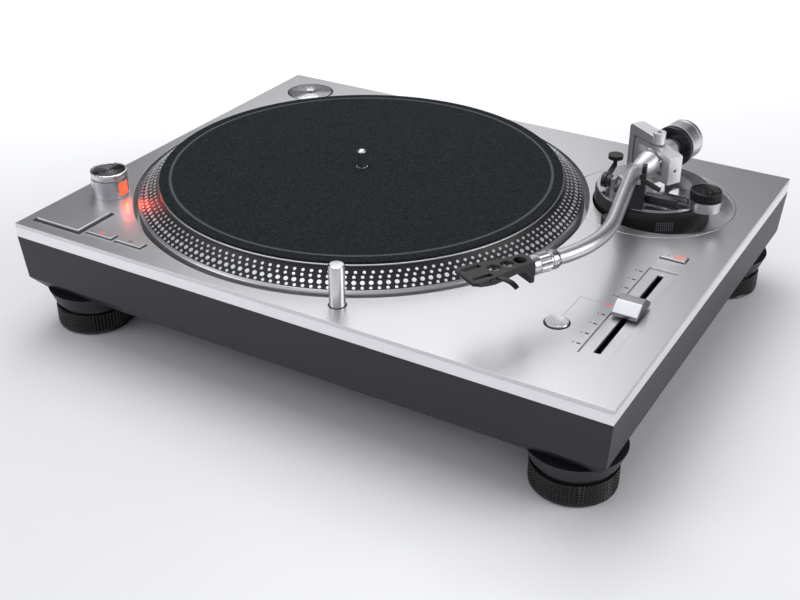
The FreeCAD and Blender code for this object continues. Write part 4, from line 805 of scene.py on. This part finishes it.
class TURNTABLE_OT_arm_base(bpy.types.Operator):
    """Arm well, height ring, base, dials, cueing and rest"""
    bl_idname = "turntable.arm_base"
    bl_label = "Arm base"

    def execute(self, context):
        refined("arm_well", silver(), 0.0003)
        refined("height_ring", black_part(), 0.0006)
        refined("arm_lock_lever", black_part(), 0.0006)
        refined("arm_base", satin_metal("base_metal", (0.46, 0.46, 0.48), 0.22, 2600.0), 0.0006)
        refined("cue_lever", black_part(), 0.0007)
        refined("lift_platform", arm_silver(), 0.0003)
        refined("arm_rest", black_part(), 0.0009, segments=3)
        refined("rest_clamp", black_part(), 0.0005)
        self.skate_dial()
        self.barrel()
        self.height_dots()
        return {"FINISHED"}

    def skate_dial(self):
        """The black dial with ribs round its edge and a dished top."""
        low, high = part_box("anti_skate_dial")
        centre = ((low.x + high.x) / 2, (low.y + high.y) / 2, low.z)
        tall = (high.z - low.z) / MM
        mesh = lathe([(0, 0), (10.6, 0), (11, 0.4), (11, tall - 1.0), (10.5, tall - 0.2), (9.6, tall),
                      (8.9, tall - 0.5), (4.5, tall - 0.9), (4.1, tall - 0.3), (0, tall - 0.3)], centre, steps=126)
        knurl(mesh, centre, None, 11 * MM, 42, 0.0005, 0.0002, (tall - 0.5) * MM)
        new_piece("skate_dial_ribbed", mesh, lathe_metal("dial_black", (0.045, 0.045, 0.048), 0.2, centre,
                                                         (0, 0, 0), 0.5), BODY_OF["anti_skate_dial"],
                  sharp=20, stands_for=["anti_skate_dial"])

    def barrel(self):
        """The dark barrel of the cueing damper, which lies across the front of the base."""
        centre = (0.1700, 0.0557, 0.1006)
        turn = Matrix.Rotation(math.radians(90), 4, "Y")
        mesh = lathe([(0, -15.5), (3.2, -15.5), (3.9, -14.8), (3.9, -9.6), (3.5, -9.3), (3.5, -8.6), (3.9, -8.3),
                      (3.9, 8.4), (3.3, 9.4), (2.2, 10.0), (2.0, 15.0), (1.6, 15.5), (0, 15.5)], centre, turn,
                     steps=48)
        new_piece("damper_barrel", mesh, plain("barrel_black", (0.035, 0.036, 0.040), 0.24, 0.6), "arm_base")

    def height_dots(self):
        """A patch of fine grip dots on the height ring's front."""
        centre = Vector((PIVOT.x, PIVOT.y, 0.0833))
        mesh = bmesh.new()
        for k in range(9):
            for row in range(5):
                turn = Matrix.Rotation(math.radians(-57.5) + (k - 4) * 0.034, 4, "Z")
                lean = Matrix.Translation((0.0420, 0, (row - 2) * 0.00145)) @ Matrix.Rotation(math.pi / 2, 4, "Y")
                bmesh.ops.create_cone(mesh, cap_ends=True, segments=8, radius1=0.00048, radius2=0.00036,
                                      depth=0.0003, matrix=Matrix.Translation(centre) @ turn @ lean)
        new_piece("height_ring_dots", mesh, plain("dot_grey", (0.34, 0.34, 0.36), 0.35, 0.6),
                  BODY_OF["height_ring"])


class TURNTABLE_OT_gimbal(bpy.types.Operator):
    """Fixed frame, swinging ring and the arm's bearing block"""
    bl_idname = "turntable.gimbal"
    bl_label = "Gimbal"

    def execute(self, context):
        pale = satin_metal("satin_gimbal", (0.80, 0.80, 0.82), 0.42, 3200.0)
        refined("gimbal_frame", pale, 0.0016, segments=4)
        refined("gimbal_ring", pale, 0.0009, segments=3)
        refined("bearing_block", pale, 0.0005)
        brass = (0.50, 0.42, 0.27)
        dress("pivot_screws", screw_metal("pivot_screw_brass", brass, tuple(PIVOT), (0, 0, 0)))
        low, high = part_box("side_screws")
        dress("side_screws", screw_metal("side_screw_brass", brass, tuple((low + high) / 2),
                                         (0, math.radians(90), SHELL_YAW)))
        return {"FINISHED"}


class TURNTABLE_OT_arm(bpy.types.Operator):
    """Bent tube, shaft, dial and weight"""
    bl_idname = "turntable.arm"
    bl_label = "Tonearm"

    def execute(self, context):
        dress("arm_tube", arm_silver())
        dress("weight_shaft", plain("shaft_steel", (0.6, 0.6, 0.62), 0.25, 1.0))
        dress("weight_core", plain("core_steel", (0.5, 0.5, 0.52), 0.3, 1.0))
        turn = along(ARM_YAW)
        dial = lathe([(7.06, 25.4), (8.6, 24.8), (12.6, 23.7), (13.2, 23.5), (14.7, 23.5), (15.3, 24.1), (15.3, 27.7),
                      (14.8, 28.2), (7.06, 28.2)], PIVOT, turn, steps=144)
        knurl(dial, PIVOT, turn, 15.3 * MM, 48, 0.0003, 0.0240, 0.0278)
        new_piece("force_dial_ring", dial, plain("dial_gloss", (0.014, 0.014, 0.016), 0.2, 0.0), "force_dial",
                  sharp=20, stands_for=["force_dial"])
        weight = lathe([(7.06, 28.5), (13.9, 28.5), (14.8, 29.3), (14.8, 40.4), (14.5, 40.7), (14.5, 41.2),
                        (14.8, 41.5), (14.8, 44.2), (14.0, 45.0), (9.5, 45.0), (9.2, 44.6), (7.06, 44.6)], PIVOT,
                       turn)
        new_piece("counterweight_turned", weight,
                  lathe_metal("weight_metal", (0.84, 0.84, 0.88), 0.30, tuple(PIVOT),
                              (math.radians(-90), 0, ARM_YAW), 0.22), "counterweight",
                  stands_for=["counterweight"])
        return {"FINISHED"}


class TURNTABLE_OT_headshell(bpy.types.Operator):
    """Locking collar and headshell"""
    bl_idname = "turntable.headshell"
    bl_label = "Headshell"

    # The lift's curve across the shell: its top line and then its underside, in (x, z) millimetres.
    lift_line = ((0, 5.9), (4.0, 6.0), (8.0, 5.9), (11.0, 5.3), (13.4, 4.0), (14.8, 2.5), (13.9, 1.9),
                 (12.4, 3.0), (10.4, 4.0), (7.6, 4.6), (4.0, 4.6), (0, 4.6))
    # The side wall along the shell, in (y, half width, underside) millimetres: deep at the rear, arched, shallow in front.
    wall_line = ((-5.5, 11.35, 3.4), (0.0, 10.95, 2.2), (6.5, 10.45, 1.3), (14.0, 9.0, 1.1), (20.0, 7.8, 1.6),
                 (26.0, 7.2, 2.0), (30.0, 6.95, 1.2), (33.0, 6.75, -0.8), (35.0, 6.6, -3.6), (37.8, 6.45, -3.6))

    def execute(self, context):
        place = Matrix.Translation(STYLUS) @ Matrix.Rotation(SHELL_YAW, 4, "Z")
        turn = along(SHELL_YAW)
        collar = lathe([(4.0, 38.4), (6.1, 38.4), (6.6, 38.9), (6.6, 42.4), (6.0, 42.8), (6.0, 43.6), (6.6, 44.0),
                        (6.6, 51.6), (6.0, 52.0), (6.0, 52.8), (6.5, 53.2), (6.5, 56.6), (5.7, 58.6),
                        (5.1, 59.0), (5.1, 50.0), (4.0, 50.0)], STYLUS, turn, steps=54)
        knurl(collar, STYLUS, turn, 6.6 * MM, 18, 0.0005, 0.0430, 0.0520)
        new_piece("locking_collar_notched", collar,
                  lathe_metal("collar_metal", (0.50, 0.50, 0.52), 0.28, tuple(STYLUS),
                              (math.radians(-90), 0, SHELL_YAW), 0.05),
                  BODY_OF["locking_collar"], stands_for=["locking_collar"])

        skin = dark_shell("shell_grey", arm_looks().shell_tint, 0.34)
        mesh = bmesh.new()
        mesh.from_mesh(NODES["headshell"].data)
        bmesh.ops.remove_doubles(mesh, verts=mesh.verts[:], dist=2e-6)
        bmesh.ops.bisect_plane(mesh, geom=mesh.verts[:] + mesh.edges[:] + mesh.faces[:],
                               plane_co=place @ Vector((0.0117, 0, 0)), plane_no=place.to_3x3() @ Vector((1, 0, 0)),
                               clear_outer=True, dist=1e-7)
        bmesh.ops.holes_fill(mesh, edges=[e for e in mesh.edges if e.is_boundary], sides=0)
        bmesh.ops.dissolve_limit(mesh, angle_limit=math.radians(0.6), verts=mesh.verts[:], edges=mesh.edges[:])
        rims = [e for e in mesh.edges if len(e.link_faces) == 2 and e.calc_face_angle() > math.radians(25)]
        bmesh.ops.bevel(mesh, geom=rims, offset=0.00035, segments=2, profile=0.5, affect="EDGES",
                        clamp_overlap=True, material=-1, miter_outer="ARC")
        weighted(new_piece("headshell_plate", mesh, skin, BODY_OF["headshell"], sharp=25,
                           stands_for=["headshell"]))
        self.strip("finger_lift", self.lift_line, place @ Matrix.Translation((0.0088, 0.0085, 0)) @
                   Matrix.Rotation(math.radians(22), 4, "Z") @ Matrix.Translation((0, 0.0018, 0)) @
                   Matrix.Rotation(math.pi / 2, 4, "X"), 0.0036, skin)
        for side in (-1, 1):
            self.side_wall(f"shell_side_wall_{side + 1}", side, place, skin)
        return {"FINISHED"}

    def side_wall(self, name, side, place, material):
        """A thin wall under one edge of the shell."""
        mesh = bmesh.new()
        rings = [[mesh.verts.new((side * x * MM, y * MM, z * MM))
                  for x, z in ((half, 4.2), (half, low), (half - 1.2, low), (half - 1.2, 4.2))]
                 for y, half, low in self.wall_line]
        for one, two in zip(rings, rings[1:]):
            for k in range(4):
                mesh.faces.new((one[k], one[k - 1], two[k - 1], two[k]))
        mesh.faces.new(rings[0])
        mesh.faces.new(rings[-1])
        bmesh.ops.recalc_face_normals(mesh, faces=mesh.faces[:])
        bmesh.ops.transform(mesh, matrix=place, verts=mesh.verts[:])
        new_piece(name, mesh, material, BODY_OF["headshell"], sharp=30)

    def strip(self, name, line, place, thick, material):
        """A flat outline pushed to a thickness, with its edges eased."""
        mesh = bmesh.new()
        face = mesh.faces.new([mesh.verts.new((x * MM, y * MM, 0)) for x, y in line])
        grown = bmesh.ops.extrude_face_region(mesh, geom=[face])
        bmesh.ops.translate(mesh, verts=[g for g in grown["geom"] if isinstance(g, bmesh.types.BMVert)],
                            vec=(0, 0, thick))
        bmesh.ops.recalc_face_normals(mesh, faces=mesh.faces[:])
        rims = [e for e in mesh.edges if e.calc_face_angle(0) > math.radians(50)]
        bmesh.ops.bevel(mesh, geom=rims, offset=0.00022, segments=2, profile=0.5, affect="EDGES",
                        clamp_overlap=True, material=-1)
        bmesh.ops.transform(mesh, matrix=place, verts=mesh.verts[:])
        return weighted(new_piece(name, mesh, material, BODY_OF["headshell"], sharp=30))


# ---------------------------------------------------------------- studio

def softbox(name, place, target, size, power, tint=(1, 1, 1)):
    """A large soft lamp aimed at a point."""
    lamp = bpy.data.lights.new(name, "AREA")
    lamp.shape = "RECTANGLE"
    lamp.size, lamp.size_y = size
    lamp.energy = power
    lamp.color = tint
    holder = bpy.data.objects.new(name, lamp)
    holder.location = place
    holder.rotation_euler = (Vector(target) - Vector(place)).to_track_quat("-Z", "Y").to_euler()
    bpy.context.scene.collection.objects.link(holder)
    return holder


class TURNTABLE_OT_studio(bpy.types.Operator):
    """Pale floor, soft lamps and the camera"""
    bl_idname = "turntable.studio"
    bl_label = "Studio"

    def execute(self, context):
        studio = context.scene.turntable_studio
        mesh = bmesh.new()
        bmesh.ops.create_grid(mesh, x_segments=1, y_segments=1, size=8.0)
        data = bpy.data.meshes.new("studio_floor")
        mesh.to_mesh(data)
        mesh.free()
        floor = bpy.data.objects.new("studio_floor", data)
        context.scene.collection.objects.link(floor)
        f = Finish("floor_pale", Base_Color=studio.floor_tint, Specular_IOR_Level=0.5, Emission_Strength=1.0)
        x, y, z = f.axes(f.place())
        cloud = f.noise(1.2, detail=2.0)
        f.set("Roughness", cloud * 0.06 + 0.22)
        seen = f.node("LightPath", out=0) + f.node("LightPath", out=3)
        far = f.node("MapRange", {"interpolation_type": "SMOOTHSTEP"},
                     {0: y * 0.85 - x * 0.7, 1: 0.0, 2: 1.15, 3: 0.0, 4: 1.0})
        f.set("Emission Color", f.mix(seen * far, (0.0, 0.0, 0.0), studio.haze_tint))
        data.materials.append(f.material)

        middle = (0.03, -0.05, DECK)
        softbox("lamp_back", (-0.60, 1.05, 0.90), middle, (0.8, 0.8), 2.1)
        softbox("lamp_back_right", (0.03, 1.029, 1.126), middle, (0.7, 0.9), 0.7)
        softbox("lamp_top", (-0.36, 0.28, 1.65), (0.0, 0.0, 0.0), (1.4, 1.4), 18.5)
        softbox("lamp_right", (1.55, 0.35, 0.75), (0.0, 0.0, 0.05), (1.1, 1.0), 11.5)
        softbox("lamp_front", (-1.15, -1.2, 1.0), (-0.1, 0.0, 0.05), (1.0, 1.0), 4.0)
        softbox("strobe_glow", (-0.1868, -0.1045, 0.0925), (-0.1600, -0.0960, 0.0900), (0.006, 0.007), 0.0030,
                (1.0, 0.05, 0.015))

        world = bpy.data.worlds.new("studio_air")
        context.scene.world = world
        world.use_nodes = True
        tree = world.node_tree
        sky = tree.nodes["Background"]
        sky.inputs["Strength"].default_value = 1.0
        where = tree.nodes.new("ShaderNodeTexCoord")
        split = tree.nodes.new("ShaderNodeSeparateXYZ")
        shade = tree.nodes.new("ShaderNodeMapRange")
        shade.interpolation_type = "SMOOTHSTEP"
        for socket, value in zip(shade.inputs[1:5], (0.35, -0.45, 0.07, 0.50)):
            socket.default_value = value
        tint = tree.nodes.new("ShaderNodeMix")
        tint.data_type = "RGBA"
        tint.inputs[6].default_value = (0.0, 0.0, 0.0, 1.0)
        tint.inputs[7].default_value = (0.94, 0.95, 1.0, 1.0)
        tree.links.new(where.outputs["Generated"], split.inputs[0])
        tree.links.new(split.outputs[1], shade.inputs[0])
        tree.links.new(shade.outputs[0], tint.inputs[0])
        tree.links.new(tint.outputs[2], sky.inputs["Color"])

        eye = bpy.data.cameras.new("photo_view")
        eye.lens = studio.lens
        eye.sensor_width = 36.0
        eye.shift_y = -1.0 / 800
        eye.clip_end = 50.0
        holder = bpy.data.objects.new("photo_view", eye)
        context.scene.collection.objects.link(holder)
        look = Matrix.Rotation(studio.turn, 4, "Z") @ Matrix.Rotation(math.pi / 2 - studio.tilt, 4, "X")
        holder.matrix_world = Matrix.Translation(Vector(studio.place)) @ look
        context.scene.camera = holder
        context.scene.view_settings.view_transform = "Standard"
        return {"FINISHED"}


class TURNTABLE_PT_panel(bpy.types.Panel):
    """Lists the pieces, the sizes and the colours"""
    bl_label = "Turntable"
    bl_idname = "TURNTABLE_PT_panel"
    bl_space_type = "VIEW_3D"
    bl_region_type = "UI"
    bl_category = "Turntable"

    def draw(self, context):
        for kind in PIECES:
            self.layout.operator(kind.bl_idname)
        for group in PROPS:
            held = getattr(context.scene, PROPS[group])
            for name in group.__annotations__:
                self.layout.prop(held, name)


PIECES = (
    TURNTABLE_OT_studio, TURNTABLE_OT_plinth, TURNTABLE_OT_feet, TURNTABLE_OT_platter, TURNTABLE_OT_mat,
    TURNTABLE_OT_power, TURNTABLE_OT_buttons, TURNTABLE_OT_fader, TURNTABLE_OT_light, TURNTABLE_OT_rear,
    TURNTABLE_OT_inside, TURNTABLE_OT_arm_base, TURNTABLE_OT_gimbal, TURNTABLE_OT_arm, TURNTABLE_OT_headshell,
)
PROPS = {
    PlinthProps: "turntable_plinth", PlatterProps: "turntable_platter", ArmProps: "turntable_arm",
    StudioProps: "turntable_studio",
}


def register():
    """Register the classes and hang the property groups on the scene."""
    for kind in (*PROPS, *PIECES, TURNTABLE_PT_panel):
        bpy.utils.register_class(kind)
    for kind, name in PROPS.items():
        setattr(bpy.types.Scene, name, bpy.props.PointerProperty(type=kind))


def unregister():
    """Take the classes and the property groups away."""
    for name in PROPS.values():
        delattr(bpy.types.Scene, name)
    for kind in reversed((*PROPS, *PIECES, TURNTABLE_PT_panel)):
        bpy.utils.unregister_class(kind)


def main():
    """Build every piece in order."""
    register()
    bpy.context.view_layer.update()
    for kind in PIECES:
        group, name = kind.bl_idname.split(".")
        getattr(getattr(bpy.ops, group), name)()
    bpy.context.view_layer.update()


if __name__ == "__main__":
    main()
